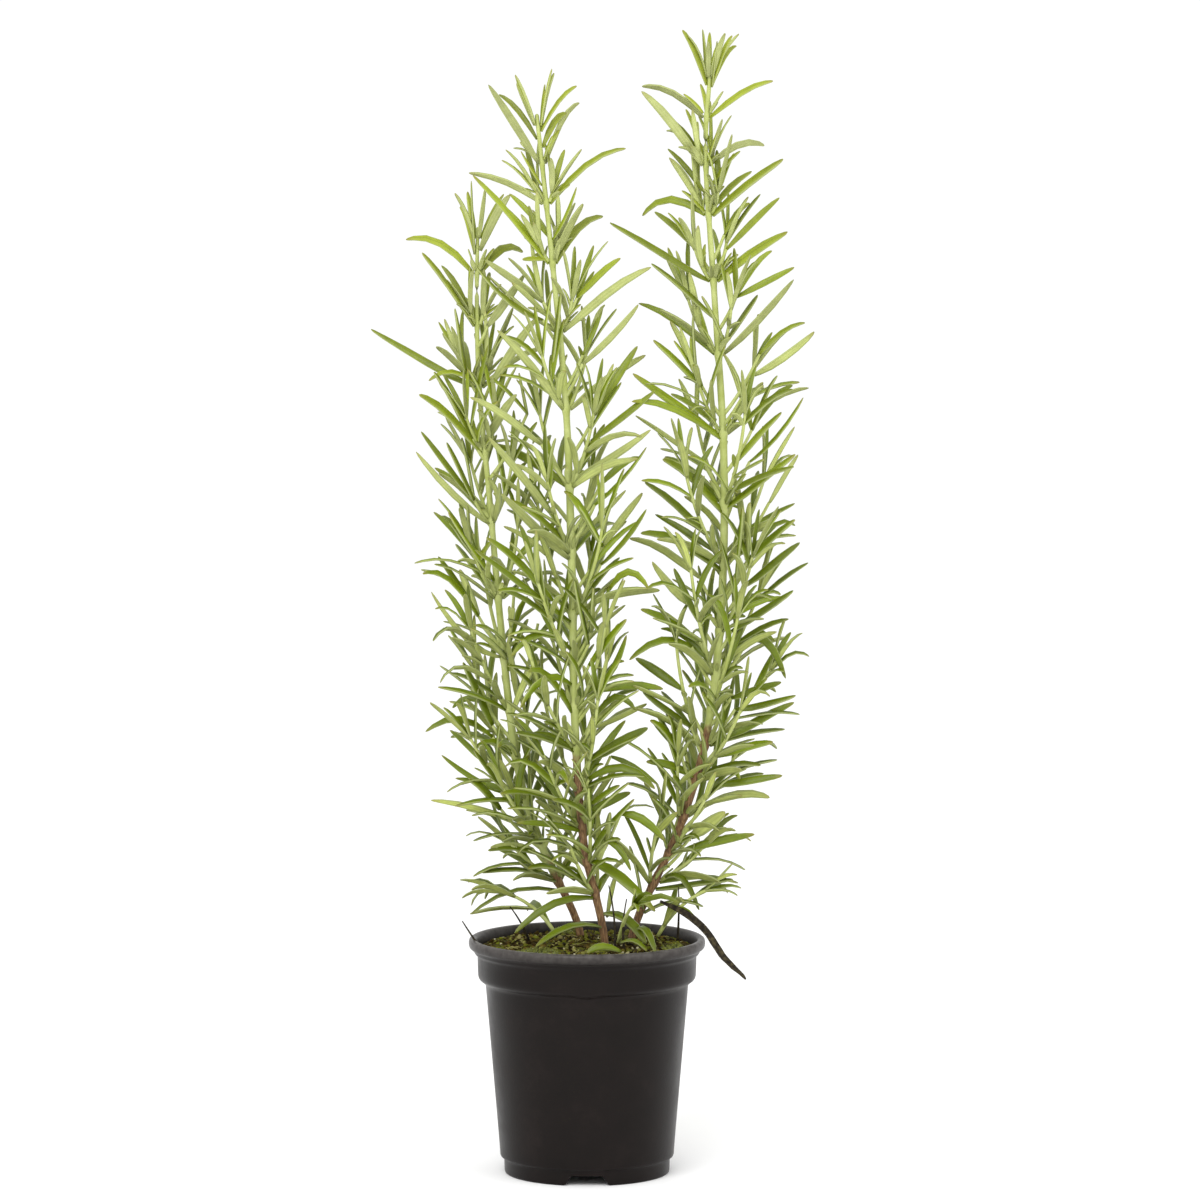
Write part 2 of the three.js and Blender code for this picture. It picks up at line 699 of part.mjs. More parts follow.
function potSolid() {
  let pot = toSolid(turned(potProfile(), POT_SIDES));
  for (let k = 0; k < NOTCHES; k += 1) {
    pot = pot.subtract(notchSolid((2 * Math.PI * k) / NOTCHES));
  }
  pot = pot.subtract(drainSolid(0, 0));
  for (let k = 0; k < DRAIN_HOLES; k += 1) {
    const angle = (2 * Math.PI * k) / DRAIN_HOLES;
    const [x, y] = [DRAIN_CIRCLE * Math.cos(angle), DRAIN_CIRCLE * Math.sin(angle)];
    pot = pot.subtract(drainSolid(x, y));
  }
  return pot;
}

// ---------------------------------------------------------------- peat and moss

function soilHeight(radius) {
  const edge = COLLAR_RADIUS - WALL;
  return SOIL_EDGE + (SOIL_CROWN - SOIL_EDGE) * (1 - Math.min(radius / edge, 1) ** 2);
}

function soilProfile() {
  const bandRadius = COLLAR_RADIUS - WALL - PEAT_AIR;
  return [
    [0, FLOOR_HEIGHT + WALL + PEAT_AIR],
    [FOOT_RADIUS - FOOT_RING_WALL - PEAT_AIR, FLOOR_HEIGHT + WALL + PEAT_AIR],
    [WALL_FOOT_RADIUS - WALL - PEAT_AIR, WALL_BOTTOM + PEAT_AIR / 2],
    [WALL_TOP_RADIUS - WALL - PEAT_AIR, WALL_TOP],
    [bandRadius - 1.4, COLLAR_FOOT + PEAT_AIR / 2],
    [bandRadius, COLLAR_SPRING],
    [bandRadius, COLLAR_TOP],
    [bandRadius + PEAT_AIR / 2, SOIL_EDGE - PEAT_SHOULDER],
    [bandRadius + PEAT_AIR - PEAT_SHOULDER, SOIL_EDGE],
    ...MOUND_RADII.map((radius) => [radius, soilHeight(radius)]),
  ];
}

function mossGeometry({ place, radius }) {
  const unit = new THREE.SphereGeometry(1, MOSS_SIDES, MOSS_RINGS);
  return shaped(unit, (p) => {
    const x = place[0] + radius * p.x;
    const y = place[1] - radius * p.z;
    const lift = p.y > 0.01 ? MOSS_HEIGHT * p.y : MOSS_BELLY * p.y;
    return new THREE.Vector3(x, y, soilHeight(Math.hypot(x, y)) + GAP + MOSS_SEAT + lift);
  });
}

// ---------------------------------------------------------------- young shoots and the withered leaf

function growShoot(name, shoot) {
  const tier = { name, leaves: [], twigs: [] };
  const up = new THREE.Vector3(0, 0, 1);
  const frame = nodeFrame(up, radians(shoot.lean));
  const [x, y] = shoot.foot;
  const base = new THREE.Vector3(x, y, SHOOT_BASE);
  const sprig = {
    length: shoot.length,
    turn: 0,
    tilts: SHOOT_BEND.map((share) => radians(shoot.tilt * share)),
    pairs: shoot.pairs,
    leaf: SHOOT_LEAF,
    skip: 0,
  };
  growSprig(tier, frame, base, sprig, makeRandom(shoot.seed));
  return tier;
}

function shootRod(shoot, extra) {
  const [x, y] = shoot.foot;
  const route = [[x, y, SHOOT_FOOT], [x, y, SHOOT_NECK]];
  const foot = { route, footRadius: SHOOT_RADIUS, tipRadius: SHOOT_RADIUS };
  return rod(foot, [SHOOT_FOOT - extra, SHOOT_NECK + extra], extra);
}

function shootSolid(shoot, tier) {
  return joined([toSolid(shootRod(shoot, 0)), ...leavesAndTwigs(tier)]);
}

function witheredGeometry() {
  const curve = new THREE.CatmullRomCurve3(WITHERED_ROUTE.map((p) => new THREE.Vector3(...p)));
  const unit = new THREE.SphereGeometry(1, 4, 8);
  return shaped(unit, (p) => {
    const t = Math.acos(THREE.MathUtils.clamp(p.y, -1, 1)) / Math.PI;
    const along = curve.getTangent(t);
    const side = along.clone().cross(new THREE.Vector3(0, 0, 1)).normalize();
    const up = side.clone().cross(along);
    const point = curve.getPoint(t);
    point.addScaledVector(side, (p.x * WITHERED_WIDTH) / 2);
    return point.addScaledVector(up, -p.z * WITHERED_DEPTH);
  });
}

// ---------------------------------------------------------------- the plant

const plant = new THREE.Group();

function addPiece(name, geometry, [color, roughness]) {
  geometry.computeVertexNormals();
  const piece = new THREE.Mesh(geometry, finish(color, roughness));
  piece.name = name;
  plant.add(piece);
}

const stemEntries = Object.entries(STEMS);
for (const [, stem] of stemEntries) {
  for (let height = SOIL_CROWN; height <= stemTip(stem); height += OUTLINE_STEP) {
    const centre = routePoint(stem.route, height);
    remember([{ centre, radius: stemRadius(stem, height) }], 'stem');
  }
}

addPiece('pot', toGeometry(potSolid()), POLYPROPYLENE);

const shootTiers = Object.entries(SHOOTS).map(([name, shoot]) => {
  const tier = growShoot(`${name}_young_shoot`, shoot);
  return [shoot, tier];
});
const tiersByStem = stemEntries.map(([name, stem]) => {
  const random = makeRandom(stem.seed);
  const tiers = [growTuft(name, stem, random)];
  for (let i = stem.tiers.length - 1; i >= 0; i -= 1) tiers.push(growTier(name, stem, i, random));
  return [stem, tiers];
});

let soil = toSolid(turned(soilProfile(), POT_SIDES));
for (const [name, stem] of stemEntries) {
  const tip = stemTip(stem);
  const heights = [...ROOT_SECTIONS, ...stem.tiers, tip - TUFT_DEPTH, tip];
  addPiece(`${name}_stem`, rod(stem, heights, 0), BARK);
  const [foot, ...upper] = ROOT_SECTIONS;
  soil = soil.subtract(toSolid(rod(stem, [foot - GAP, ...upper], BORE_AIR)));
}
for (const [shoot] of shootTiers) {
  soil = soil.subtract(toSolid(shootRod(shoot, BORE_AIR)));
}
addPiece('potting_soil', toGeometry(soil), PEAT);

for (const [stem, tiers] of tiersByStem) {
  for (const tier of tiers) addPiece(tier.name, toGeometry(tierSolid(stem, tier)), LEAF);
}
for (const [shoot, tier] of shootTiers) {
  addPiece(tier.name, toGeometry(shootSolid(shoot, tier)), LEAF);
}
for (const [name, cushion] of Object.entries(MOSS)) {
  addPiece(`moss_${name}`, mossGeometry(cushion), MOSS_GREEN);
}
addPiece('withered_leaf', witheredGeometry(), WITHERED);

export default plant;
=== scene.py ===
# %% [markdown]
# # A potted rosemary
# A nursery pot of black plastic, full of moist peat, with three leafy stems and a few young shoots.
# The CAD frame gives every piece its place: we load it first, and hide each plain solid behind a
# finished piece. A plant is hundreds of leaves, so a small growing program decides where most of them
# go, the leaves that draw the outline are listed one by one, and one leaf blank is bent along every
# bow.

# %% Load the frame
import math

import bmesh
import bpy
from mathutils import Matrix, Quaternion, Vector, noise


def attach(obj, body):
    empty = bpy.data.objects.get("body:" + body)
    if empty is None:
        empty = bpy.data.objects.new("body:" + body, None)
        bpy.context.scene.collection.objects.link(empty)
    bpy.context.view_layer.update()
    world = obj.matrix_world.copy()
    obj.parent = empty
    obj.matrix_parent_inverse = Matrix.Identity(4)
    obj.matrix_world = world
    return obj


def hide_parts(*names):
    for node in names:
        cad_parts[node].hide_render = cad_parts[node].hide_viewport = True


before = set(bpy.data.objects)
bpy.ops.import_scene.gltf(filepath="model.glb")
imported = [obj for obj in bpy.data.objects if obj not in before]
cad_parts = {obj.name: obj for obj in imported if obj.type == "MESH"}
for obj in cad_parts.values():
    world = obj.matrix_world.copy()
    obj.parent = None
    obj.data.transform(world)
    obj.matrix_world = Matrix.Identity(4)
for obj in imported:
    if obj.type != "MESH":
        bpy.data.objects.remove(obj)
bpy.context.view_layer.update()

# %% [markdown]
# ## Camera, floor and light
# A plant portrait is shot from far away with a long lens, a little above the pot's rim, so the pot
# keeps its upright sides. The room is a white sweep: a pale floor, an even white sky, a large soft
# lamp above and a little to the left, which gives the leaves a light side and a dark side, and a
# weaker one on the right, which fills the shadows.

# %% Camera
scene = bpy.context.scene
MM = 0.001
LONG_LENS = 179
SENSOR_WIDTH = 36
CAMERA_PLACE = (6.6, -3000, 567)
CAMERA_AIM = (6.6, 0, 292)

lens = bpy.data.cameras.new("portrait_lens")
lens.lens = LONG_LENS
lens.sensor_width = SENSOR_WIDTH
lens.clip_end = 20
camera = bpy.data.objects.new("camera", lens)
camera.location = Vector(CAMERA_PLACE) * MM
looking_at = Vector(CAMERA_AIM) * MM
camera.rotation_euler = (looking_at - camera.location).to_track_quat("-Z", "Y").to_euler()
scene.collection.objects.link(camera)
scene.camera = camera
print("camera is", round((looking_at - camera.location).length, 2), "m away")

# %% Helpers for colours and nodes


def srgb(code):
    """A hex colour as it is picked on a screen, turned to the linear numbers that light works in."""
    channels = [int(code[i:i + 2], 16) / 255 for i in (1, 3, 5)]
    linear = [c / 12.92 if c <= 0.04045 else ((c + 0.055) / 1.055) ** 2.4 for c in channels]
    return (*linear, 1)


def add(tree, kind, inputs={}, stops=(), **settings):
    """Adds a node. An input is a number, a colour or another node's output; stops fill a ramp."""
    node = tree.nodes.new(kind)
    for name, value in settings.items():
        setattr(node, name, value)
    for socket, value in inputs.items():
        if isinstance(value, bpy.types.NodeSocket):
            tree.links.new(value, node.inputs[socket])
        else:
            node.inputs[socket].default_value = value
    for number, (position, colour) in enumerate(stops):
        if number < 2:
            stop = node.color_ramp.elements[number]
            stop.position = position
        else:
            stop = node.color_ramp.elements.new(position)
        stop.color = colour
    return node


def start_material(name):
    material = bpy.data.materials.new(name)
    material.use_nodes = True
    return material, material.node_tree, material.node_tree.nodes["Principled BSDF"]


print("middle grey of the screen is", round(srgb("#808080")[0], 3), "in light")

# %% Floor, sky and lamps
paint, tree, surface = start_material("white_painted_floor")
speckle = add(tree, "ShaderNodeTexNoise", {"Scale": 40, "Detail": 3})
shade = add(tree, "ShaderNodeValToRGB", {0: speckle.outputs[0]},
            stops=[(0.3, srgb("#fcfcfb")), (0.7, srgb("#fefefe"))])
tree.links.new(shade.outputs[0], surface.inputs["Base Color"])
surface.inputs["Roughness"].default_value = 0.9

bm = bmesh.new()
bmesh.ops.create_grid(bm, x_segments=2, y_segments=2, size=6)
mesh = bpy.data.meshes.new("floor")
bm.to_mesh(mesh)
bm.free()
mesh.materials.append(paint)
floor = bpy.data.objects.new("floor", mesh)
scene.collection.objects.link(floor)

sky = bpy.data.worlds.new("white_room")
sky.use_nodes = True
sky.node_tree.nodes["Background"].inputs["Color"].default_value = srgb("#ffffff")
sky.node_tree.nodes["Background"].inputs["Strength"].default_value = 1.04
scene.world = sky
scene.view_settings.view_transform = "Standard"

for name, place, size, watts in (
    ("key_softbox", (-0.6, -1.9, 1.9), 1.6, 36),
    ("fill_softbox", (1.5, -1.2, 1.2), 1.4, 8),
):
    light = bpy.data.lights.new(name, "AREA")
    light.size = size
    light.energy = watts
    lamp = bpy.data.objects.new(name, light)
    lamp.location = place
    lamp.rotation_euler = (Vector((0, 0, 0.3)) - lamp.location).to_track_quat("-Z", "Y").to_euler()
    scene.collection.objects.link(lamp)

# %% [markdown]
# ## From a drawing in millimetres to a finished piece
# Every piece is drawn in millimetres in its own bmesh, shrunk to metres at the end, and tied to the
# frame: it rides on the body, stands for its CAD nodes, and takes its finish from a material slot.

# %% Finish a piece


def finish_piece(name, bm, materials, slot, *nodes):
    bmesh.ops.scale(bm, vec=(MM, MM, MM), verts=bm.verts)
    mesh = bpy.data.meshes.new(name)
    bm.to_mesh(mesh)
    bm.free()
    mesh.shade_smooth()
    for material in materials:
        mesh.materials.append(material)
    piece = bpy.data.objects.new(name, mesh)
    scene.collection.objects.link(piece)
    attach(piece, "root")
    if nodes:
        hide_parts(*nodes)
    return piece


print("drawn size to metres:", MM)

# %% [markdown]
# ## How a rosemary grows
# A stem follows a smooth route up from the peat. At each node it bears two leaves, opposite each
# other, and the next pair is a quarter turn on. Older nodes also carry a short side sprig in each
# leaf's axil. The CAD solids were grown by the same rules from the same seeds, so this program is
# repeated here, draw by draw, and a finished leaf follows the same bow as its plain solid.

# %% The stems and how each one grew
STEM_FOOT = 60
SOIL_CROWN = 117
COLLAR_AIR = 0.37
COLLAR_WALL = 0.8
TUFT_DEPTH = 5
TWIG_RADIUS = 0.9
CLEARANCE = 1.1  # air kept between outlines
LEAF_SLIMNESS = 0.4  # share of a leaf's width that counts as its outline
OUTLINE_STEP = 3  # spacing of the spheres that stand for an outline
SMALLEST_SOLID_LEAF = 30
TURNS = (0, 14, -14, 28, -28, 42, -42, 60, -60)

STEMS = {
    "right": dict(
        route=[(20, 18, 60), (23, 18, 118), (47, 14, 174), (61, 8, 224), (68, 4, 289),
               (69, 2, 365), (64, 0, 447), (59.5, 0, 519), (62, 0, 560)],
        tiers=[146, 162, 180, 199, 217, 236, 254, 276, 311, 341, 376, 416, 453, 486, 511, 535],
        crown={
            16: [(-31, 14, 17, 4), (31, -12, 21, 2)],
            15: [(-30, -15, 39, 1), (29, 16, 12, 4)],
            14: [(-35, 14, 2, 7), (35, -16, 28, 2)],
            13: [(-49, -14, 33, -2), (36, 20, 24, 2)],
            12: [(-38, 18, 27, 3), (35, -22, 39, -2)],
            11: [(-44, -16, 22, 2), (41, 14, 27, 2)],
        },
        foot_radius=2.6, tip_radius=1.1, turn=23, seed=1, bark_top=226),
    "middle": dict(
        route=[(9, 0, 60), (9, 0, 118), (-1.5, -2, 168), (-6, -6, 229), (-7.5, -8, 305),
               (-10.5, -8, 390), (-18, -8, 470), (-25, -8, 536)],
        tiers=[143, 159, 177, 197, 217, 238, 260, 286, 317, 350, 389, 428, 462, 492, 512],
        crown={
            15: [(-25, -12, 39, 1), (16, 14, 34, 3)],
            14: [(-37, 16, 14, 4), (38, -12, 30, 5)],
            13: [(-37, -14, 46, 1), (24, 18, 24, 6)],
            12: [(-34, 18, 28, -2), (43, -16, 36, 1)],
            11: [(-32, -24, 42, 2), (38, 18, 26, 2)],
        },
        foot_radius=2.5, tip_radius=1.1, turn=48, seed=11, bark_top=212),
    "left": dict(
        route=[(-2, 28, 60), (-3.6, 28, 118), (-22, 22, 161), (-35, 16, 204), (-43.5, 12, 276),
               (-49, 10, 340), (-54.5, 10, 400), (-55.5, 10, 445), (-55, 10, 479)],
        tiers=[146, 166, 187, 211, 235, 261, 292, 331, 366, 399, 430, 456],
        crown={
            12: [(-34, -8, 18, 7), (23, 16, 12, 7)],
            11: [(-25, -18, 39, 1), (26, -14, 24, 2)],
            10: [(-52, 10, 32, -3), (30, 16, 22, 2)],
            9: [(-30, -20, 34, 2), (30, -18, 20, 3)],
        },
        foot_radius=2.2, tip_radius=1, turn=30, seed=14, bark_top=149),
}

SHOOTS = {
    "front": dict(foot=(16, -16), lean=-70, tilt=48, length=34, pairs=3, seed=5),
    "right": dict(foot=(36, 4), lean=5, tilt=50, length=38, pairs=3, seed=6),
    "left": dict(foot=(-16, 12), lean=165, tilt=58, length=40, pairs=3, seed=7),
}
print("stems:", len(STEMS), "nodes:", sum(len(stem["tiers"]) for stem in STEMS.values()))

# %% Routes of the stems


def route_point(route, height):
    """A stem's middle at a height: smooth curves through the route's points."""
    last = len(route) - 2
    i = 0
    while i < last and height > route[i + 1][2]:
        i += 1
    low, high = route[i], route[i + 1]
    before, after = route[max(i - 1, 0)], route[min(i + 2, len(route) - 1)]
    span = high[2] - low[2]
    t = (height - low[2]) / span
    middle = []
    for axis in (0, 1):
        start_slope = (high[axis] - before[axis]) / (high[2] - before[2])
        end_slope = (after[axis] - low[axis]) / (after[2] - low[2])
        middle.append((2 * t ** 3 - 3 * t ** 2 + 1) * low[axis]
                      + (t ** 3 - 2 * t ** 2 + t) * span * start_slope
                      + (3 * t ** 2 - 2 * t ** 3) * high[axis]
                      + (t ** 3 - t ** 2) * span * end_slope)
    return Vector((*middle, height))


def stem_tip(stem):
    return stem["route"][-1][2]


def stem_radius(stem, height):
    t = (height - STEM_FOOT) / (stem_tip(stem) - STEM_FOOT)
    return stem["foot_radius"] + (stem["tip_radius"] - stem["foot_radius"]) * t


def seat_point(stem, height, azimuth):
    """Where a leaf's base sits in the CAD collar's wall, at the node's own level."""
    bore = stem_radius(stem, height) + COLLAR_AIR
    reach = (bore + (bore + COLLAR_WALL) * math.cos(math.pi / 6)) / 2
    return route_point(stem["route"], height) + Vector(
        (reach * math.cos(azimuth), reach * math.sin(azimuth), 0))


def node_frame(axis, azimuth):
    """Three directions at a node: along the stem, out from it, and sideways."""
    along = axis.normalized()
    out = Vector((math.cos(azimuth), math.sin(azimuth), 0))
    out = (out - along * out.dot(along)).normalized()
    return along, out, along.cross(out)


def stem_frame(stem, height, azimuth):
    axis = route_point(stem["route"], height + 2) - route_point(stem["route"], height - 2)
    return node_frame(axis, azimuth)


for name, stem in STEMS.items():
    print(name, "stem leaves the peat at", [round(v) for v in route_point(stem["route"], SOIL_CROWN)])

# %% [markdown]
# ## Bows
# A leaf is never straight: it leaves its base in one direction and points in another by its tip. Two
# directions and a length give a quadratic curve with three points, and that is all a bow needs. An
# armature or a curve modifier could bend each leaf too, but a thousand of them would be slow.

# %% Leaning directions and bows


def leaning(directions, tilt, turn):
    """The direction that leans from a frame's axis by a tilt, turned about the axis."""
    along, out, side = directions
    return (along * math.cos(tilt) + out * (math.sin(tilt) * math.cos(turn))
            + side * (math.sin(tilt) * math.sin(turn)))


def make_bow(base, start, end, length):
    """A leaf leaves its base in one direction and bends to a second by its tip."""
    middle = base + start * (length / 2)
    return dict(base=base, middle=middle, tip=middle + end * (length / 2), length=length)


def arched_bow(along, base, tip, arch):
    middle = base.lerp(tip, 0.5) + along * (2 * arch)
    return dict(base=base, middle=middle, tip=tip, length=(tip - base).length)


def bow_point(bow, t):
    return bow["base"] * (1 - t) ** 2 + bow["middle"] * (2 * t * (1 - t)) + bow["tip"] * t ** 2


def bow_direction(bow, t):
    start, end = bow["middle"] - bow["base"], bow["tip"] - bow["middle"]
    return (start * (1 - t) + end * t).normalized()


straight = make_bow(Vector(), Vector((0, 0, 1)), Vector((0, 0, 1)), 50)
print("the middle of a straight 50 mm bow:", bow_point(straight, 0.5)[:])

# %% [markdown]
# ## Room for each leaf
# Real leaves push each other aside. Here, small spheres along a new leaf are tested against every
# sphere that has grown already, before the leaf is kept. Testing all of them would take long, so
# they are sorted into boxes, and only the boxes round a sphere are searched.

# %% Keeping clear of what has grown
BOX = 6
NEIGHBOURS = [(dx, dy, dz) for dx in (-1, 0, 1) for dy in (-1, 0, 1) for dz in (-1, 0, 1)]
grown = {}


def boxes_of(point):
    return [math.floor(value / BOX) for value in point]


def remember(spheres, owner):
    for centre, radius in spheres:
        grown.setdefault(tuple(boxes_of(centre)), []).append((centre, radius, owner))


def is_clear(spheres, owner, clearance):
    for centre, radius in spheres:
        x, y, z = boxes_of(centre)
        for dx, dy, dz in NEIGHBOURS:
            for other, other_radius, other_owner in grown.get((x + dx, y + dy, z + dz), ()):
                reach = radius + other_radius + clearance
                if other_owner != owner and (centre - other).length_squared < reach ** 2:
                    return False
    return True


def bow_spheres(bow, radius, start):
    steps = math.ceil(bow["length"] / OUTLINE_STEP)
    return [(bow_point(bow, i / steps), radius) for i in range(steps + 1)
            if i / steps * bow["length"] >= start]


print("spheres that stand for a 50 mm bow:", len(bow_spheres(straight, 1, 0)))

# %% A repeatable dice and one leaf


def make_random(seed):
    """A small repeatable dice: the same seed always gives the same numbers."""
    state = seed

    def random(low, high):
        nonlocal state
        state = state * 16807 % 2147483647
        return low + (high - low) * state / 2147483647

    return random


def grow_leaf(tier, directions, base, leaf, clearance=CLEARANCE):
    for turn in TURNS:
        start = leaning(directions, leaf["tilts"][0], leaf["turn"] + math.radians(turn))
        end = leaning(directions, leaf["tilts"][1], leaf["turn"] + math.radians(turn) + leaf["sweep"])
        bow = make_bow(base, start, end, leaf["length"])
        if leaf.get("crown"):
            tip = base + Vector(leaf["crown"][:3])
            bow = arched_bow(directions[0], base, tip, leaf["crown"][3])
        spheres = bow_spheres(bow, leaf["width"] * LEAF_SLIMNESS, leaf["skip"])
        if is_clear(spheres, tier["name"], clearance):
            remember(spheres, tier["name"])
            tier["leaves"].append(dict(leaf, bow=bow, axis=directions[0]))
            return


first_rolls = make_random(1)
print("the dice of seed 1 rolls", [round(first_rolls(0, 1), 3) for _ in range(3)])

# %% A side sprig


def grow_sprig(tier, directions, base, sprig, random):
    """A twig with crossed pairs of leaves and a tuft at its tip."""
    leaves = []
    for pair in range(sprig["pairs"]):
        place = (pair + 0.5) / (sprig["pairs"] + 0.3)
        for half in (0, 1):
            tilt = random(26, 40)
            leaves.append(dict(
                place=place,
                turn=math.radians(90 * ((pair + 1) % 2) + 180 * half + random(-18, 18)),
                tilts=(math.radians(tilt), math.radians(tilt + random(8, 34))),
                sweep=math.radians(random(-20, 20)),
                length=sprig["leaf"] * (1.08 - 0.32 * place) * random(0.85, 1.12),
                width=random(3.3, 4.3),
                roll=math.radians(random(-40, 40)),
                skip=4))
    for leaf in leaves:
        leaf["solid"] = leaf["length"] >= SMALLEST_SOLID_LEAF
    for k in range(4):
        tilt = random(9, 19)
        leaves.append(dict(
            place=0.93,
            turn=math.radians(90 * k + 45 * (sprig["pairs"] % 2) + random(-15, 15)),
            tilts=(math.radians(tilt), math.radians(tilt + random(4, 18))),
            sweep=math.radians(random(-15, 15)),
            length=sprig["leaf"] * random(0.5, 0.74),
            width=random(2.7, 3.4),
            roll=math.radians(random(-30, 30)),
            skip=4,
            solid=False))
    for turn in TURNS:
        start = leaning(directions, sprig["tilts"][0], sprig["turn"] + math.radians(turn))
        end = leaning(directions, sprig["tilts"][1], sprig["turn"] + math.radians(turn))
        bow = make_bow(base, start, end, sprig["length"])
        spheres = bow_spheres(bow, TWIG_RADIUS, sprig["skip"])
        if is_clear(spheres, tier["name"], CLEARANCE):
            remember(spheres, tier["name"])
            tier["twigs"].append(dict(bow=bow, axis=directions[2], frame=directions))
            for leaf in leaves:
                along = bow_direction(bow, leaf["place"])
                out = directions[1]
                out = (out - along * out.dot(along)).normalized()
                grow_leaf(tier, (along, out, along.cross(out)), bow_point(bow, leaf["place"]), leaf)
            return


# %% A tier, a tuft and a young shoot


def grow_tier(stem_name, stem, index, random):
    """One pair of long leaves and the sprigs in their axils; the older, the wider they stand."""
    height = stem["tiers"][index]
    tier = dict(name=f"{stem_name}_tier_{index + 1:02d}", height=height, leaves=[], twigs=[])
    depth = stem_tip(stem) - height
    age = min(depth / 330, 1)
    sprig_length = max(min(0.26 * (depth - 32), 56, 26 + 0.3 * (height - SOIL_CROWN)), 5)
    for half in (0, 1):
        azimuth = math.radians(stem["turn"] + 90 * index + 180 * half + random(-20, 20))
        crown = stem["crown"].get(index + 1, (None, None))[half]
        if crown:
            azimuth = math.atan2(crown[1], crown[0])
        directions = stem_frame(stem, height, azimuth)
        tilt = random(34, 48) + 14 * age
        leaf = dict(
            turn=0,
            tilts=(math.radians(tilt), math.radians(tilt + random(14, 34))),
            sweep=math.radians(random(-22, 22)),
            length=random(46, 60) * (1 - 0.22 * age),
            width=random(4.0, 5.4) - 0.4 * age,
            roll=math.radians(random(-45, 45)),
            skip=7,
            solid=True,
            crown=crown)
        grow_leaf(tier, directions, seat_point(stem, height, azimuth), leaf)
        sprig = dict(
            length=sprig_length * random(0.8, 1.12),
            turn=math.radians(random(-12, 12)),
            tilts=(math.radians(random(26, 36)), math.radians(random(8, 18))),
            leaf=27 + 6 * min(depth / 120, 1),
            skip=7)
        sprig["pairs"] = math.floor(sprig["length"] / 11 - 0.3 + 0.5)
        if depth > 30:
            axil = seat_point(stem, height, azimuth) + directions[0]
            grow_sprig(tier, directions, axil, sprig, random)
    return tier


def grow_tuft(stem_name, stem, random):
    """The upright young leaves round a stem's growing point."""
    height = stem_tip(stem) - TUFT_DEPTH
    tier = dict(name=f"{stem_name}_tip_leaves", height=height, leaves=[], twigs=[])
    for k in range(8):
        azimuth = math.radians(stem["turn"] + 45 * k + random(-10, 10))
        tilt = (14 if k % 2 == 0 else 5) + random(0, 6)
        grow_leaf(tier, stem_frame(stem, height, azimuth), seat_point(stem, height, azimuth), dict(
            turn=0,
            tilts=(math.radians(tilt), math.radians(tilt + random(4, 22))),
            sweep=math.radians(random(-12, 12)),
            length=(27 if k % 2 == 0 else 20) * random(0.85, 1.1),
            width=random(2.8, 3.6),
            roll=math.radians(random(-20, 20)),
            skip=7,
            solid=True))
    return tier


def grow_shoot(name, shoot):
    """A young shoot that comes straight out of the peat."""
    tier = dict(name=f"{name}_young_shoot", height=SOIL_CROWN + 2, leaves=[], twigs=[])
    directions = node_frame(Vector((0, 0, 1)), math.radians(shoot["lean"]))
    tilt = shoot["tilt"]
    sprig = dict(
        length=shoot["length"], turn=0, pairs=shoot["pairs"], leaf=25, skip=0,
        tilts=(math.radians(tilt * 0.55), math.radians(tilt * 1.35)))
    base = Vector((*shoot["foot"], SOIL_CROWN + 3))
    grow_sprig(tier, directions, base, sprig, make_random(shoot["seed"]))
    return tier


# %% Grow the plant and compare it with the CAD solids
for stem in STEMS.values():
    height = SOIL_CROWN
    while height <= stem_tip(stem):
        remember([(route_point(stem["route"], height), stem_radius(stem, height))], "stem")
        height += OUTLINE_STEP

shoot_tiers = [grow_shoot(name, shoot) for name, shoot in SHOOTS.items()]
stem_tiers = {}
for name, stem in STEMS.items():
    random = make_random(stem["seed"])
    tiers = [grow_tuft(name, stem, random)]
    for index in reversed(range(len(stem["tiers"]))):
        tiers.append(grow_tier(name, stem, index, random))
    stem_tiers[name] = tiers

all_tiers = [*shoot_tiers, *(tier for tiers in stem_tiers.values() for tier in tiers)]
worst = 0
for tier in all_tiers:
    corners = [vertex.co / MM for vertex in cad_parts[tier["name"]].data.vertices]
    for leaf in tier["leaves"]:
        if leaf["solid"]:
            worst = max(worst, min((corner - leaf["bow"]["tip"]).length for corner in corners))
print("leaves grown:", sum(len(tier["leaves"]) for tier in all_tiers),
      "| furthest a solid leaf's tip is from its CAD corner, mm:", round(worst, 4))

# %% [markdown]
# ## The leaves that CAD left out
# The frame holds only leaves that are large enough for a solid of their own. A real node also
# carries bunches of tiny young leaves in its axils, and they make the bush look full. They are grown
# by the same rules, after the others, and still keep out of everything's way.

# %% Grow the small leaves
TOUCHING = 0.2  # small leaves may nearly touch
random = make_random(77)


def young_leaf(turn, tilt, length):
    return dict(
        turn=turn,
        tilts=(math.radians(tilt), math.radians(tilt + random(5, 35))),
        sweep=math.radians(random(-30, 30)),
        length=length,
        width=random(2.4, 3.4),
        roll=math.radians(random(-60, 60)),
        skip=min(6, length / 3),
        solid=False)


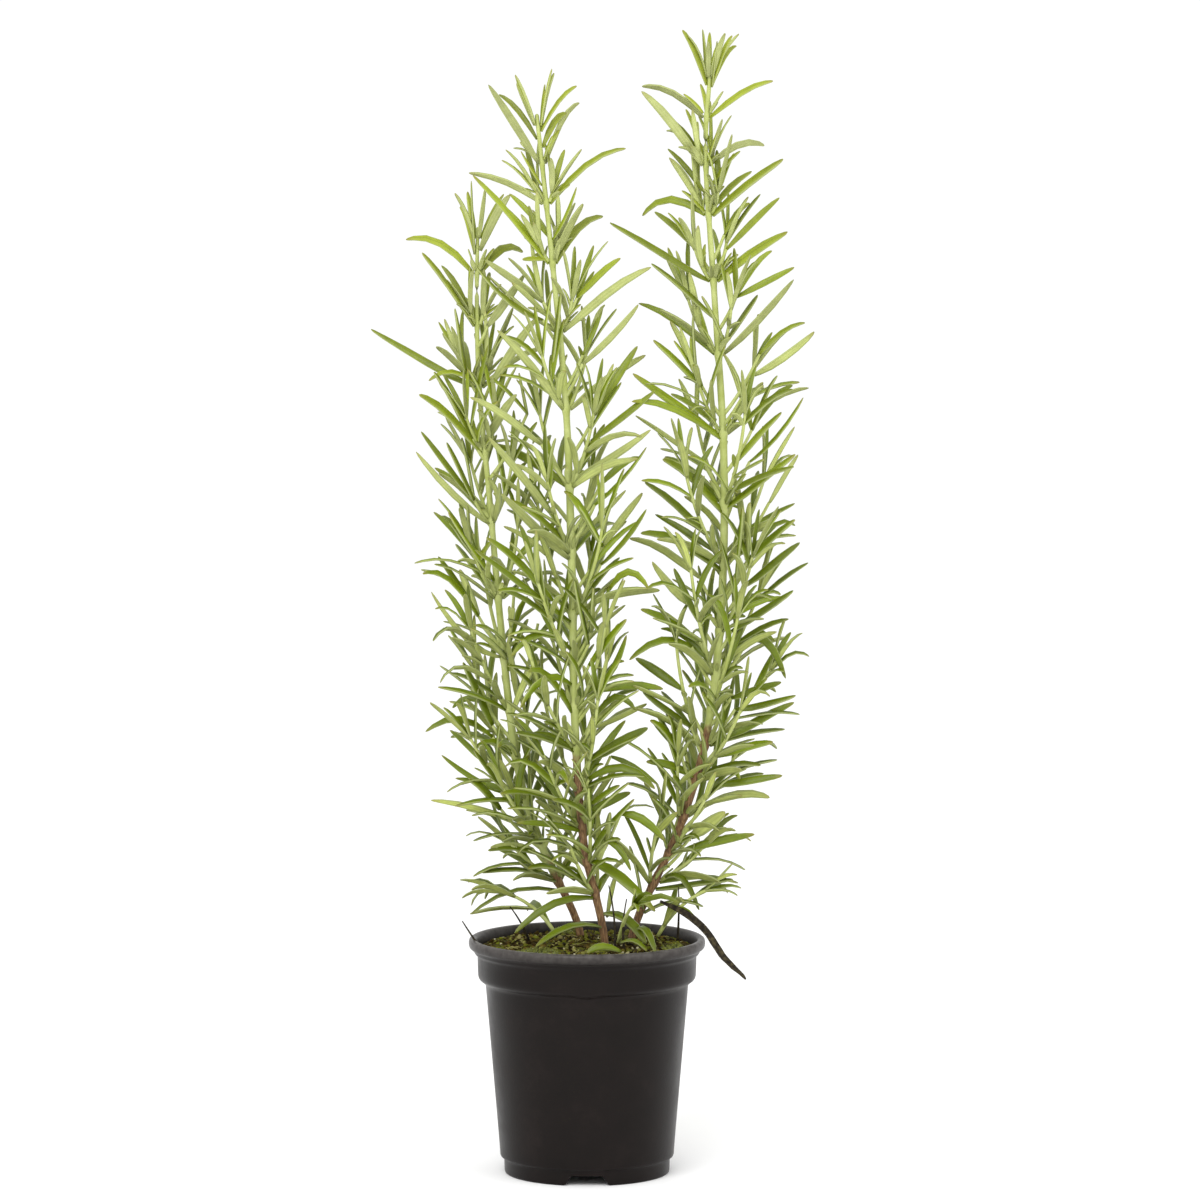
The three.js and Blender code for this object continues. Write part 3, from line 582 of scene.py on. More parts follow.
for name, stem in STEMS.items():
    for tier in stem_tiers[name][1:]:
        for k in range(4):
            azimuth = math.radians(stem["turn"] + 90 * k + random(-40, 40))
            base = seat_point(stem, tier["height"] + 2, azimuth)
            leaf = young_leaf(0, random(15, 45), random(6, 18))
            grow_leaf(tier, stem_frame(stem, tier["height"], azimuth), base, leaf, TOUCHING)
        for twig in tier["twigs"]:
            for k in range(2):
                place = random(0.1, 0.9)
                along = bow_direction(twig["bow"], place)
                out = twig["frame"][1]
                out = (out - along * out.dot(along)).normalized()
                leaf = young_leaf(random(0, 2 * math.pi), random(20, 48), random(7, 16))
                grow_leaf(tier, (along, out, along.cross(out)), bow_point(twig["bow"], place), leaf,
                          TOUCHING)
print("leaves with the small ones:", sum(len(tier["leaves"]) for tier in all_tiers))

# %% [markdown]
# ## Leaves set one by one
# Rules give a bush, but not this bush. The leaves that draw its outline are set one by one: for
# each, the base and the tip in x and z, how far the tip comes forward or goes back, how much it
# arches, and its width, all in millimetres. A minus on the width turns its pale side to the front.
# A leaf that starts away from its stem gets a thin twig to stand on.

# %% The list of leaves set one by one
SET_LEAVES = {
    "left": [
        (-58, 401, -81, 404, -10, 5, 3.4), (-58, 373, -76, 409, -12, 1, 4.6),
        (-61, 406, -72, 433, 6, 0, -3.6), (-61, 406, -66, 440, -8, 0, 4.2),
        (-57, 342, -83, 378, -8, -1, 3.2), (-57, 342, -63, 374, 8, 1, -4.2),
        (-57, 342, -70, 373, -14, 0, 3), (-51, 330, -86, 367, -10, -3, -3.4),
        (-49, 301, -70, 336, -14, 1, 4.6), (-49, 301, -77, 337, 6, 1, 3.4),
        (-55, 283, -75, 314, -8, 1, 4), (-55, 283, -64, 307, 8, 0, -5),
        (-55, 283, -84, 308, -12, 7, 3.2), (-43, 262, -78, 297, -10, -8, -3.4),
        (-48, 227, -62, 261, -8, 0, 4.8), (-48, 227, -52, 262, 8, 0, -4.4),
        (-51, 237, -70, 236, 4, 4, 3.2), (-48, 221, -82, 225, -12, 8, 4.2),
        (-35, 212, -58, 217, -10, 5, 3.8), (-44, 192, -74, 211, 4, -2, 3),
        (-34, 178, -79, 193, -10, -1, -3.2), (-44, 184, -59, 203, -16, 1, 4.6),
        (-28, 163, -49, 164, -8, 2, -3.8), (-14, 188, -44, 196, -30, 3, 4.2),
        (-49, 400, -26, 437, -14, -1, -4.6), (-51, 403, -38, 440, 8, -1, -3.6),
        (-50, 430, -32, 457, -8, -1, -4.2), (-55, 466, -58, 503, -6, -2, 2.8),
        (-55, 466, -64, 491, 8, 5, 3.4), (-54, 468, -39, 497, -8, 2, -4.2),
        (-30, 386, -34, 407, -10, 0, 3.8), (-30, 386, -49, 405, -16, 2, 3.2),
        (-49, 372, -36, 398, -14, 0, -5), (-45, 255, -30, 283, -12, 3, 4.4),
        (-41, 232, -24, 262, -14, 4, -4.2), (-36, 205, -20, 232, -14, 2, 4.2),
    ],
    "middle": [
        (-23, 372, -57, 400, -22, 0, -4), (-18, 337, -49, 376, -20, 1, -4.6),
        (-11, 314, -42, 350, -20, -2, -4.6), (-17, 293, -49, 329, -16, 1, 4.2),
        (-6, 282, -55, 322, -24, -1, 4), (2, 373, 34, 398, -6, 0, 3.6),
        (4, 386, 25, 421, 8, 0, 4), (4, 386, -5, 413, -10, 1, 3.2),
        (4, 386, 13, 413, -8, 0, -3), (-5, 353, 32, 379, -14, -1, -4.2),
        (7, 351, 26, 367, 8, 1, 3.6), (4, 341, 30, 370, -8, -2, 2.8),
        (8, 320, 28, 346, 8, 1, -4.2), (8, 320, -9, 350, -12, 1, 4),
        (8, 320, 10, 337, -6, 0, 3), (7, 311, 30, 339, -12, -2, 3.2),
        (11, 298, 31, 299, -8, 9, 4), (5, 293, 37, 298, 8, 1, -4.8),
        (1, 260, 19, 286, -14, 0, 5), (1, 271, -6, 304, -18, 0, 4.6),
        (2, 277, 3, 301, -14, 0, 4.4), (8, 252, 20, 274, 6, -4, 3.4),
        (4, 233, 25, 238, -12, 9, 4), (2, 246, 39, 248, 6, 2, 4),
        (4, 228, 30, 240, 12, -1, -3.8), (1, 212, 30, 231, -12, -1, 5),
        (1, 202, 36, 199, -14, 8, 4.8), (2, 189, 16, 201, -10, 0, 4.2),
        (2, 185, 22, 194, 10, 0, 4.6), (12, 213, 36, 198, 4, 2, 3.2),
        (17, 184, 39, 171, -8, 4, 4.2), (9, 170, 23, 156, -12, 4, 3.4),
        (10, 170, 12, 186, -14, 0, -5.4), (-7, 175, -35, 180, -16, 2, 3.8),
        (-26, 532, -35, 555, -8, 1, 3), (-24, 528, -21, 552, 4, 0, 2.2),
        (-22, 528, -5, 551, -6, 4, 3), (-22, 520, -10, 538, 8, 4, 3.6),
        (-28, 524, -44, 547, 8, 3, 3.2), (-24, 501, -33, 518, -6, 0, 2.2),
        (-14, 474, -5, 500, -8, -2, 2.6), (-22, 476, -39, 496, 8, 2, 2.8),
        (-5, 445, 16, 467, -8, 0, 4), (-5, 445, 3, 472, 4, -1, 2.8),
        (-22, 443, -51, 463, -6, 1, -3.6), (-22, 434, -55, 461, -18, -4, 3.4),
        (-18, 409, -13, 448, -14, 0, 4.6), (-2, 416, 8, 440, 6, -1, 3),
        (-2, 412, 26, 441, -8, -1, -3.8), (-9, 236, -30, 262, -18, 6, 4.4),
        (-8, 250, -34, 240, -20, 9, 4.2), (-6, 216, -32, 226, -16, 4, 4),
        (-4, 196, -24, 216, -18, 2, -4.2), (-8, 268, -38, 266, -18, 10, 4.4),
    ],
    "right": [
        (67, 374, 23, 406, -10, 1, 4.6), (58, 363, 26, 388, 8, -2, -3.2),
        (58, 400, 34, 425, -8, 0, 4.8), (58, 400, 43, 434, 8, 1, -4.6),
        (68, 337, 39, 367, -10, 2, 5), (60, 325, 30, 353, 8, 1, 4),
        (66, 307, 27, 331, -12, 3, 5.2), (57, 303, 22, 326, 10, 2, -4.6),
        (53, 289, 33, 312, -10, -2, -4.8), (57, 271, 28, 291, -8, 0, 4.4),
        (53, 268, 22, 262, -10, 7, 4.2), (48, 246, 25, 262, 8, 0, 5),
        (53, 227, 28, 245, -8, 0, 4.4), (48, 212, 32, 231, -12, 4, 4.2),
        (56, 201, 30, 210, -10, 2, 4.2), (50, 212, 34, 229, 8, 0, 4.6),
        (53, 189, 44, 204, -12, 1, 4.6), (73, 339, 104, 368, -8, -1, 4.6),
        (84, 406, 114, 428, -6, -2, -4.2), (87, 416, 110, 433, 6, 3, 3.2),
        (83, 378, 95, 407, -8, 2, 4), (83, 378, 75, 404, 6, 3, 3.8),
        (83, 378, 104, 400, 10, 4, 3.4), (82, 362, 109, 394, -6, -3, 3),
        (81, 312, 104, 335, -8, 0, 5), (81, 312, 82, 342, -14, 0, -5.6),
        (75, 301, 78, 340, -14, 0, 5.2), (84, 314, 107, 330, 8, 8, 3.2),
        (79, 299, 106, 324, -8, -2, 4.2), (92, 341, 106, 366, 6, 0, -3.4),
        (70, 279, 100, 293, 8, 5, 4.8), (73, 276, 104, 297, -8, 0, 4),
        (79, 267, 101, 252, -6, 12, 4.2), (72, 260, 97, 271, 8, 8, 4),
        (75, 236, 105, 246, -8, -2, 4.4), (70, 221, 104, 242, 6, -2, 4.2),
        (73, 242, 98, 251, -12, 0, 4.6), (66, 212, 94, 222, -10, 0, 4.6),
        (64, 197, 99, 204, -8, -1, 4.2), (61, 187, 94, 192, 4, 2, -4.6),
        (53, 170, 70, 184, -12, 0, -7), (49, 163, 85, 171, -6, 1, 4.8),
        (68, 201, 78, 201, -12, 5, 3.4), (60, 551, 48, 579, -6, 3, 2.8),
        (61, 551, 58, 579, 4, 1, 2.4), (62, 551, 72, 577, -4, 2, 2.6),
        (62, 550, 75, 570, 6, 5, 3), (61, 550, 65, 573, -8, 0, 2.6),
        (60, 516, 50, 540, -6, 1, 2.4), (57, 497, 41, 520, 6, 1, 2.8),
        (65, 499, 76, 520, -6, 1, 2.8), (56, 468, 34, 487, 6, 2, 3.8),
        (70, 469, 96, 496, -6, 0, 3.2), (69, 476, 82, 492, 8, 3, 2.8),
        (75, 445, 104, 460, -6, 0, 3.8), (75, 445, 74, 470, 4, 0, 3.2),
        (75, 445, 93, 469, 8, 3, 3.4), (60, 435, 33, 464, -12, 0, 3.8),
    ],
}
print("leaves to set by hand:", sum(len(leaves) for leaves in SET_LEAVES.values()))

# %% Lay the listed leaves
ON_STEM = 5  # a base this near to the stem's middle needs no twig
FULLER = 1.1  # a blade looks narrower than it is, because its edges roll under
random = make_random(311)
for name, leaves in SET_LEAVES.items():
    stem = STEMS[name]
    twig_bases = set()
    for x, z, tip_x, tip_z, toward, arch, width in leaves:
        axis_point = route_point(stem["route"], min(z, stem_tip(stem) - 2))
        away = x - axis_point.x
        base = Vector((x, axis_point.y + 0.3 * toward, z))
        tip = Vector((tip_x, axis_point.y + toward, tip_z))
        below = [tier for tier in stem_tiers[name] if tier["height"] <= z + 6]
        tier = max(below, key=lambda tier: tier["height"]) if below else stem_tiers[name][-1]
        if abs(away) > ON_STEM and (x, z) not in twig_bases:
            twig_bases.add((x, z))
            foot = route_point(stem["route"], max(z - 1.3 * abs(away) - 4, SOIL_CROWN + 2))
            bow = arched_bow(Vector((0, 0, -1)), foot, base, 0.12 * abs(away))
            tier["twigs"].append(dict(bow=bow, axis=Vector((0, 1, 0))))
        if abs(away) <= ON_STEM:
            base = axis_point + Vector((math.copysign(1.2, tip_x - x), 0.1 * toward, 0))
        bow = arched_bow(Vector((0, 0, 1)), base, tip, arch)
        faces_front = (1 if width > 0 else -1) * (1 if tip_x > x else -1)
        tier["leaves"].append(dict(
            bow=bow, axis=Vector((0, 0, 1)), width=abs(width) * FULLER, length=bow["length"],
            roll=math.radians(random(45, 80)) * faces_front, solid=True))
print("twigs with the new ones:", sum(len(tier["twigs"]) for tier in all_tiers))

# %% [markdown]
# ## The lowest leaves
# The long arching leaves over the peat are set in the same way, but with both ends given in all
# three directions, because they lie across each other and over the pot's rim.

# %% Lay the lowest leaves
LOW_LEAVES = [
    ("left_tier_01", (-12, 25, 140), (-61, 12, 132), 6, 3.8),
    ("middle_tier_01", (3, -4, 141), (-37, -18, 125), 6, 4.8),
    ("middle_tier_01", (7, -4, 126), (-25, -35, 120), 6, 4.4),
    ("front_young_shoot", (17, -41, 119), (-1, -46, 119.5), 3, 4.8),
    ("middle_tier_01", (9, -4, 133), (31, -30, 122), 5, 5.6),
    ("front_young_shoot", (25, -20, 127), (35, -44, 118.5), 6, 4.4),
    ("front_young_shoot", (17, -24, 121), (31, -40, 120), 3, 3.6),
    ("middle_tier_02", (2, -4, 160), (34, -25, 137), 4, 6.2),
    ("right_tier_01", (35, 14, 143), (74, 4, 152), -1, 4.8),
    ("right_tier_01", (40, 12, 149), (58, 5, 133), 8, 4.4),
    ("left_tier_01", (-20, 21, 150), (-54, 12, 152), 2, 3.6),
    ("left_tier_02", (-24, 20, 160), (-51, 13, 164), 2, 3.8),
    ("left_tier_01", (-6, 12, 148), (-31, 4, 157), 3, 5.2),
    ("left_tier_01", (-16, 21, 146), (-35, 13, 157), -1, 4.2),
    ("right_tier_01", (29, 13, 131), (60, 2, 137), 4, 4.6),
    ("right_tier_01", (46, 2, 135), (57, -4, 126), 3, 3.8),
    ("right_tier_01", (29, 12, 133), (22, 5, 167), 3, 4.4),
    ("middle_tier_01", (10, 3, 130), (14, -2, 152), 2, 3.8),
]
by_name = {tier["name"]: tier for tier in all_tiers}
for name, base, tip, arch, width in LOW_LEAVES:
    upward = Vector((0, 0, 1))
    bow = arched_bow(upward, Vector(base), Vector(tip), arch)
    faces_front = 1 if tip[0] > base[0] else -1
    by_name[name]["leaves"].append(dict(
        bow=bow, axis=upward, width=width, roll=math.radians(random(5, 50)) * faces_front,
        length=bow["length"], solid=True))
print("leaves in all:", sum(len(tier["leaves"]) for tier in all_tiers))

# %% [markdown]
# ## The rosemary leaf
# A rosemary leaf is a narrow leathery blade with parallel sides and a blunt tip. Its edges roll
# under, its middle sinks to a groove on top, and the pale felted underside shows a raised rib. It
# could be a flat card, but then the rolled edges would catch no light. So a small flat grid gets
# thickness, and its rows are pulled to that section once. This blank has few faces, because the
# plant needs over a thousand of them, and each one is bent along its own bow.

# %% The leaf blank
LEAF_STATIONS = (0, 0.08, 0.26, 0.48, 0.7, 0.88, 0.97, 1)
LEAF_WIDTHS = (0.4, 0.62, 0.95, 1, 0.9, 0.64, 0.36, 0.1)
LEAF_THICKNESS = (0.9, 0.95, 1, 1, 1, 0.9, 0.6, 0.3)
LAST_ROW = len(LEAF_STATIONS) - 1
TOP_SECTION = ((-1, -0.12), (-0.58, 0.26), (0, 0.08), (0.58, 0.26), (1, -0.12))
UNDER_SECTION = ((-0.86, -0.48), (-0.45, -0.2), (0, -0.44), (0.45, -0.2), (0.86, -0.48))
UNDER_PALENESS = (0.25, 0.9, 0.7, 0.9, 0.25)

bm = bmesh.new()
bmesh.ops.create_grid(bm, x_segments=4, y_segments=LAST_ROW, size=1)
bmesh.ops.solidify(bm, geom=bm.faces[:], thickness=0.3)
top = max(v.co.z for v in bm.verts)
underside = bm.verts.layers.float.new("underside")
uv = bm.loops.layers.uv.new("blade")
for face in bm.faces:
    for loop in face.loops:
        row = round((loop.vert.co.y + 1) / 2 * LAST_ROW)
        loop[uv].uv = (LEAF_STATIONS[row], (loop.vert.co.x + 1) / 2)
for v in bm.verts:
    column = round((v.co.x + 1) * 2)
    row = round((v.co.y + 1) / 2 * LAST_ROW)
    on_top = v.co.z > top - 0.1
    across, lift = (TOP_SECTION if on_top else UNDER_SECTION)[column]
    v[underside] = 0 if on_top else UNDER_PALENESS[column]
    v.co = (across * LEAF_WIDTHS[row], row, lift * LEAF_THICKNESS[row])
bmesh.ops.recalc_face_normals(bm, faces=bm.faces)
leaf_blank = bpy.data.meshes.new("leaf_blank")
bm.to_mesh(leaf_blank)
print("leaf blank:", len(bm.verts), "corners,", len(bm.faces), "faces")
bm.free()

# %% Lay a leaf along its bow


def lay_leaf(bm, leaf, width, age, tone, twist, hook):
    """Adds one leaf to a bmesh that has the layers age and tone. A hook bends its last half down."""
    age_layer, tone_layer = bm.verts.layers.float["age"], bm.verts.layers.float["tone"]
    first = len(bm.verts)
    bm.from_mesh(leaf_blank)
    bm.verts.ensure_lookup_table()
    places = []
    for t in LEAF_STATIONS:
        along = bow_direction(leaf["bow"], t)
        bend = max(t - 0.45, 0) / 0.55
        drop = Vector((0, 0, -1))
        drop = drop - along * drop.dot(along)
        point = bow_point(leaf["bow"], t) + (drop * bend ** 2 - along * 0.3 * bend ** 3) * hook
        along = (along * leaf["length"] + drop * 3.6 * hook * bend).normalized()
        up = (leaf["axis"] - along * leaf["axis"].dot(along)).normalized()
        up.rotate(Quaternion(along, leaf["roll"] + twist * (t - 0.3)))
        places.append((point, along.cross(up), up))
    for v in bm.verts[first:]:
        point, side, up = places[round(v.co.y)]
        v.co = point + side * (v.co.x * width / 2) + up * (v.co.z * width / 2)
        v[age_layer] = age
        v[tone_layer] = tone


def stretched_bow(bow, longer):
    base = bow["base"]
    return dict(base=base, middle=base + (bow["middle"] - base) * longer,
                tip=base + (bow["tip"] - base) * longer)


print("a leaf bends at", len(LEAF_STATIONS), "places")

# %% [markdown]
# ## Tubes for stems and twigs
# A twig is round and tapers. A curve with a bevel could draw it, but then the swellings at the nodes
# would be hard to place. Extruding a circle from ring to ring puts a ring exactly where it is wanted.

# %% Draw a tube through rings


def draw_tube(bm, rings, sides):
    """Extrudes a circle from ring to ring; each ring is a matrix. Gives back the rings' corners."""
    circle = bmesh.ops.create_circle(bm, cap_ends=True, segments=sides, radius=1)["verts"]
    bmesh.ops.transform(bm, matrix=rings[0], verts=circle)
    edges = list({edge for v in circle for edge in v.link_edges})
    made = [circle]
    for before, after in zip(rings, rings[1:]):
        parts = bmesh.ops.extrude_edge_only(bm, edges=edges)["geom"]
        corners = [part for part in parts if isinstance(part, bmesh.types.BMVert)]
        edges = [part for part in parts if isinstance(part, bmesh.types.BMEdge)
                 and all(v in corners for v in part.verts)]
        bmesh.ops.transform(bm, matrix=after @ before.inverted(), verts=corners)
        made.append(corners)
    bmesh.ops.contextual_create(bm, geom=edges)
    faces = {face for corners in made for v in corners for face in v.link_faces}
    bmesh.ops.recalc_face_normals(bm, faces=list(faces))
    return made


def ring_at(point, along, radius):
    """A circle's place: its middle, the way it faces, and its size."""
    return Matrix.LocRotScale(point, along.to_track_quat("Z", "Y"), Vector((radius,) * 3))


bm = bmesh.new()
draw_tube(bm, [ring_at(Vector((0, 0, z)), Vector((0, 0, 1)), TWIG_RADIUS) for z in (0, 10, 20)], 7)
print("a tube of three rings has", len(bm.faces), "faces")
bm.free()

# %% [markdown]
# ## The leaf's finish
# The top of a leaf is smooth, a little waxy and slightly wrinkled. It is yellow-green when young and
# deep olive when old. The underside is dull and pale, because fine hairs cover it. Both come from
# attributes that each leaf carries: how old it is, its own tone, and which side is which. A painted
# image could do this too, but then every leaf would look the same.

# %% Waxy and felted leaf
leaf_skin, tree, surface = start_material("waxy_rosemary_leaf")
age = add(tree, "ShaderNodeAttribute", attribute_name="age")
tone = add(tree, "ShaderNodeAttribute", attribute_name="tone")
below = add(tree, "ShaderNodeAttribute", attribute_name="underside")
blade = add(tree, "ShaderNodeUVMap", uv_map="blade")
place = add(tree, "ShaderNodeTexCoord")
top_green = add(tree, "ShaderNodeValToRGB", {0: age.outputs["Fac"]}, stops=[
    (0, srgb("#818b28")), (1, srgb("#566402")), (0.25, srgb("#77841b")), (0.6, srgb("#617104"))])
under_green = add(tree, "ShaderNodeValToRGB", {0: age.outputs["Fac"]}, stops=[
    (0, srgb("#adb37a")), (1, srgb("#aab25f"))])
sides = add(tree, "ShaderNodeMix", {0: below.outputs["Fac"], 6: top_green.outputs[0],
                                    7: under_green.outputs[0]}, data_type="RGBA")
# Blotches 6 mm across: a leaf is never one even green.
blotches = add(tree, "ShaderNodeTexNoise", {"Vector": place.outputs["Object"], "Scale": 170,
                                            "Detail": 3, "Roughness": 0.6})
lightness = add(tree, "ShaderNodeMath", {0: tone.outputs["Fac"], 1: blotches.outputs[0]},
                operation="ADD")
value = add(tree, "ShaderNodeMapRange", {0: lightness.outputs[0], 1: 0.2, 2: 1.7, 3: 0.56, 4: 1.6})
toned = add(tree, "ShaderNodeHueSaturation", {"Value": value.outputs[0], "Color": sides.outputs[2]})
print("leaf colours:", len(tree.nodes), "nodes")

# %% Painted groove shade, painted edge highlights and dry tips
# The groove over the midrib gets painted shade: a thin darker line down the middle of the blade.
across = add(tree, "ShaderNodeSeparateXYZ", {0: blade.outputs[0]})
groove = add(tree, "ShaderNodeMath", {0: across.outputs[1], 1: 0.5, 2: 0.055}, operation="COMPARE")
top_only = add(tree, "ShaderNodeMath", {0: groove.outputs[0], 1: below.outputs["Fac"]},
               operation="SUBTRACT", use_clamp=True)
groove_shade = add(tree, "ShaderNodeMath", {0: top_only.outputs[0], 1: 0.35}, operation="MULTIPLY")
grooved = add(tree, "ShaderNodeMix", {0: groove_shade.outputs[0], 6: toned.outputs[0],
                                      7: srgb("#5d6a22")}, data_type="RGBA")
# A painted highlight along both rolled edges of the top, where they catch the light: a pale rim 0.5 mm
# wide.
from_middle = add(tree, "ShaderNodeMath", {0: across.outputs[1], 1: 0.5}, operation="SUBTRACT")
off_middle = add(tree, "ShaderNodeMath", {0: from_middle.outputs[0]}, operation="ABSOLUTE")
edge_highlight = add(tree, "ShaderNodeMapRange", {0: off_middle.outputs[0], 1: 0.36, 2: 0.5, 3: 0, 4: 0.6})
edge_highlighted = add(tree, "ShaderNodeMix", {0: edge_highlight.outputs[0], 6: grooved.outputs[2],
                                    7: srgb("#b4bb80")}, data_type="RGBA")
# Old leaves dry out from the tip: the last tenth turns straw and brown.
tip = add(tree, "ShaderNodeMapRange", {0: across.outputs[0], 1: 0.86, 2: 1.02, 3: 0, 4: 0.75})
dry = add(tree, "ShaderNodeMath", {0: tip.outputs[0], 1: tone.outputs["Fac"]}, operation="MULTIPLY")
coloured = add(tree, "ShaderNodeMix", {0: dry.outputs[0], 6: edge_highlighted.outputs[2],
                                       7: srgb("#8a7b3c")}, data_type="RGBA")
tree.links.new(coloured.outputs[2], surface.inputs["Base Color"])

# %% Wax and felt
rough = add(tree, "ShaderNodeMapRange", {0: below.outputs["Fac"], 1: 0, 2: 1, 3: 0.36, 4: 0.85})
tree.links.new(rough.outputs[0], surface.inputs["Roughness"])
surface.inputs["Specular IOR Level"].default_value = 0.34
# Wrinkles 0.6 mm apart on the wax, and the same size of nap on the felt.
wrinkles = add(tree, "ShaderNodeTexNoise", {"Vector": place.outputs["Object"], "Scale": 1600,
                                            "Detail": 2})
relief = add(tree, "ShaderNodeBump", {"Strength": 0.35, "Distance": 0.0003,
                                      "Height": wrinkles.outputs[0]})
tree.links.new(relief.outputs[0], surface.inputs["Normal"])
print("leaf finish:", leaf_skin.name, "with", len(tree.nodes), "nodes")

# %% [markdown]
# ## Green stem and brown bark
# Rosemary stems start soft and yellow-green, then turn to brown bark that splits lengthwise. One
# finish holds both, so that the green can fade into the bark in patches: an attribute on the tube
# says how woody it is, and the same noise that colours the green decides where the bark starts.

# %% Bark and young green stem
stem_skin, tree, surface = start_material("green_stem_and_brown_bark")
wood = add(tree, "ShaderNodeAttribute", attribute_name="wood")
place = add(tree, "ShaderNodeTexCoord")
# Fissures are 0.6 mm apart round the stem and seven times as long.
stretched = add(tree, "ShaderNodeMapping", {0: place.outputs["Object"], "Scale": (1600, 1600, 230)})
fissures = add(tree, "ShaderNodeTexNoise", {"Vector": stretched.outputs[0], "Scale": 1, "Detail": 4})
# The green is paler and darker in patches of 8 mm.
patches = add(tree, "ShaderNodeTexNoise", {"Vector": place.outputs["Object"], "Scale": 120,
                                           "Detail": 3})
bark = add(tree, "ShaderNodeValToRGB", {0: fissures.outputs[0]}, stops=[
    (0.32, srgb("#4a3320")), (0.7, srgb("#a3835a")), (0.5, srgb("#7c5b39"))])
green = add(tree, "ShaderNodeValToRGB", {0: patches.outputs[0]}, stops=[
    (0.3, srgb("#9fa955")), (0.7, srgb("#b7bf7a"))])
edge = add(tree, "ShaderNodeMath", {0: patches.outputs[0], 1: wood.outputs["Fac"]}, operation="ADD")
share = add(tree, "ShaderNodeMapRange", {0: edge.outputs[0], 1: 0.85, 2: 1.1})
stem_colour = add(tree, "ShaderNodeMix", {0: share.outputs[0], 6: green.outputs[0],
                                          7: bark.outputs[0]}, data_type="RGBA")
tree.links.new(stem_colour.outputs[2], surface.inputs["Base Color"])
surface.inputs["Roughness"].default_value = 0.7
depth = add(tree, "ShaderNodeMapRange", {0: wood.outputs["Fac"], 3: 0.1, 4: 0.7})
relief = add(tree, "ShaderNodeBump", {"Strength": depth.outputs[0], "Distance": 0.0004,
                                      "Height": fissures.outputs[0]})
tree.links.new(relief.outputs[0], surface.inputs["Normal"])
print("stem finish:", stem_skin.name, "with", len(tree.nodes), "nodes")

# %% [markdown]
# ## The stems
# A stem is a long tapering tube that follows its route, thicker at each node where leaves and sprigs
# leave it. Rings stand every 5 mm, and closer together at the nodes.

# %% Three stems
THICKEST = 2  # the radius of the oldest stem between its nodes
NODE_STEPS = (-3.5, -1.5, 0, 1.5, 3.5)
stem_faces = 0
for name, stem in STEMS.items():
    bm = bmesh.new()
    wood_layer = bm.verts.layers.float.new("wood")
    tip = stem_tip(stem)
    heights = {STEM_FOOT, tip} | {float(z) for z in range(110, tip, 5)}
    for node in stem["tiers"]:
        heights |= {node + step for step in NODE_STEPS}
    heights = sorted(heights)
    rings = []
    for z in heights:
        swell = sum(math.exp(-((z - node) / 2.2) ** 2) for node in stem["tiers"])
        wobble = noise.noise(Vector((z * 0.08, stem["turn"], 0)))
        radius = min(1.5 * stem_radius(stem, z) - 0.6, THICKEST) * (1 + 0.3 * swell + 0.08 * wobble)
        axis = route_point(stem["route"], z + 1) - route_point(stem["route"], z - 1)
        rings.append(ring_at(route_point(stem["route"], z), axis, radius))
    rings.append(ring_at(route_point(stem["route"], tip) + Vector((0, 0, 0.8)), axis, 0.3))
    for z, corners in zip([*heights, tip], draw_tube(bm, rings, 12)):
        for v in corners:
            v[wood_layer] = min(max((stem["bark_top"] - z) / 40 + 0.5, 0), 1)
    stem_faces += len(bm.faces)
    finish_piece(f"{name}_stem.twin", bm, [stem_skin], "rosemary_stem", f"{name}_stem")
print("stem faces:", stem_faces)

# %% [markdown]
# ## The leafy tiers
# Each tier of the CAD frame becomes one piece: its leaves, and the green twigs that carry some of
# them. A leaf's age runs from the tip of its stem down, and its tone is its own. The rules alone give
# too many short straight leaves, so most of the short ones on side sprigs are left out, the rest of
# them grow longer and hook downwards, and a few of the shortest at the stems' tips are left out too.

# %% The age of each tier
tier_ages = {}
for name, stem in STEMS.items():
    for tier in stem_tiers[name]:
        tier_ages[tier["name"]] = (stem_tip(stem) - tier["height"]) / (stem_tip(stem) - SOIL_CROWN)
print("the oldest tier is", round(max(tier_ages.values()), 2), "old, and a tuft",
      round(min(tier_ages.values()), 2))

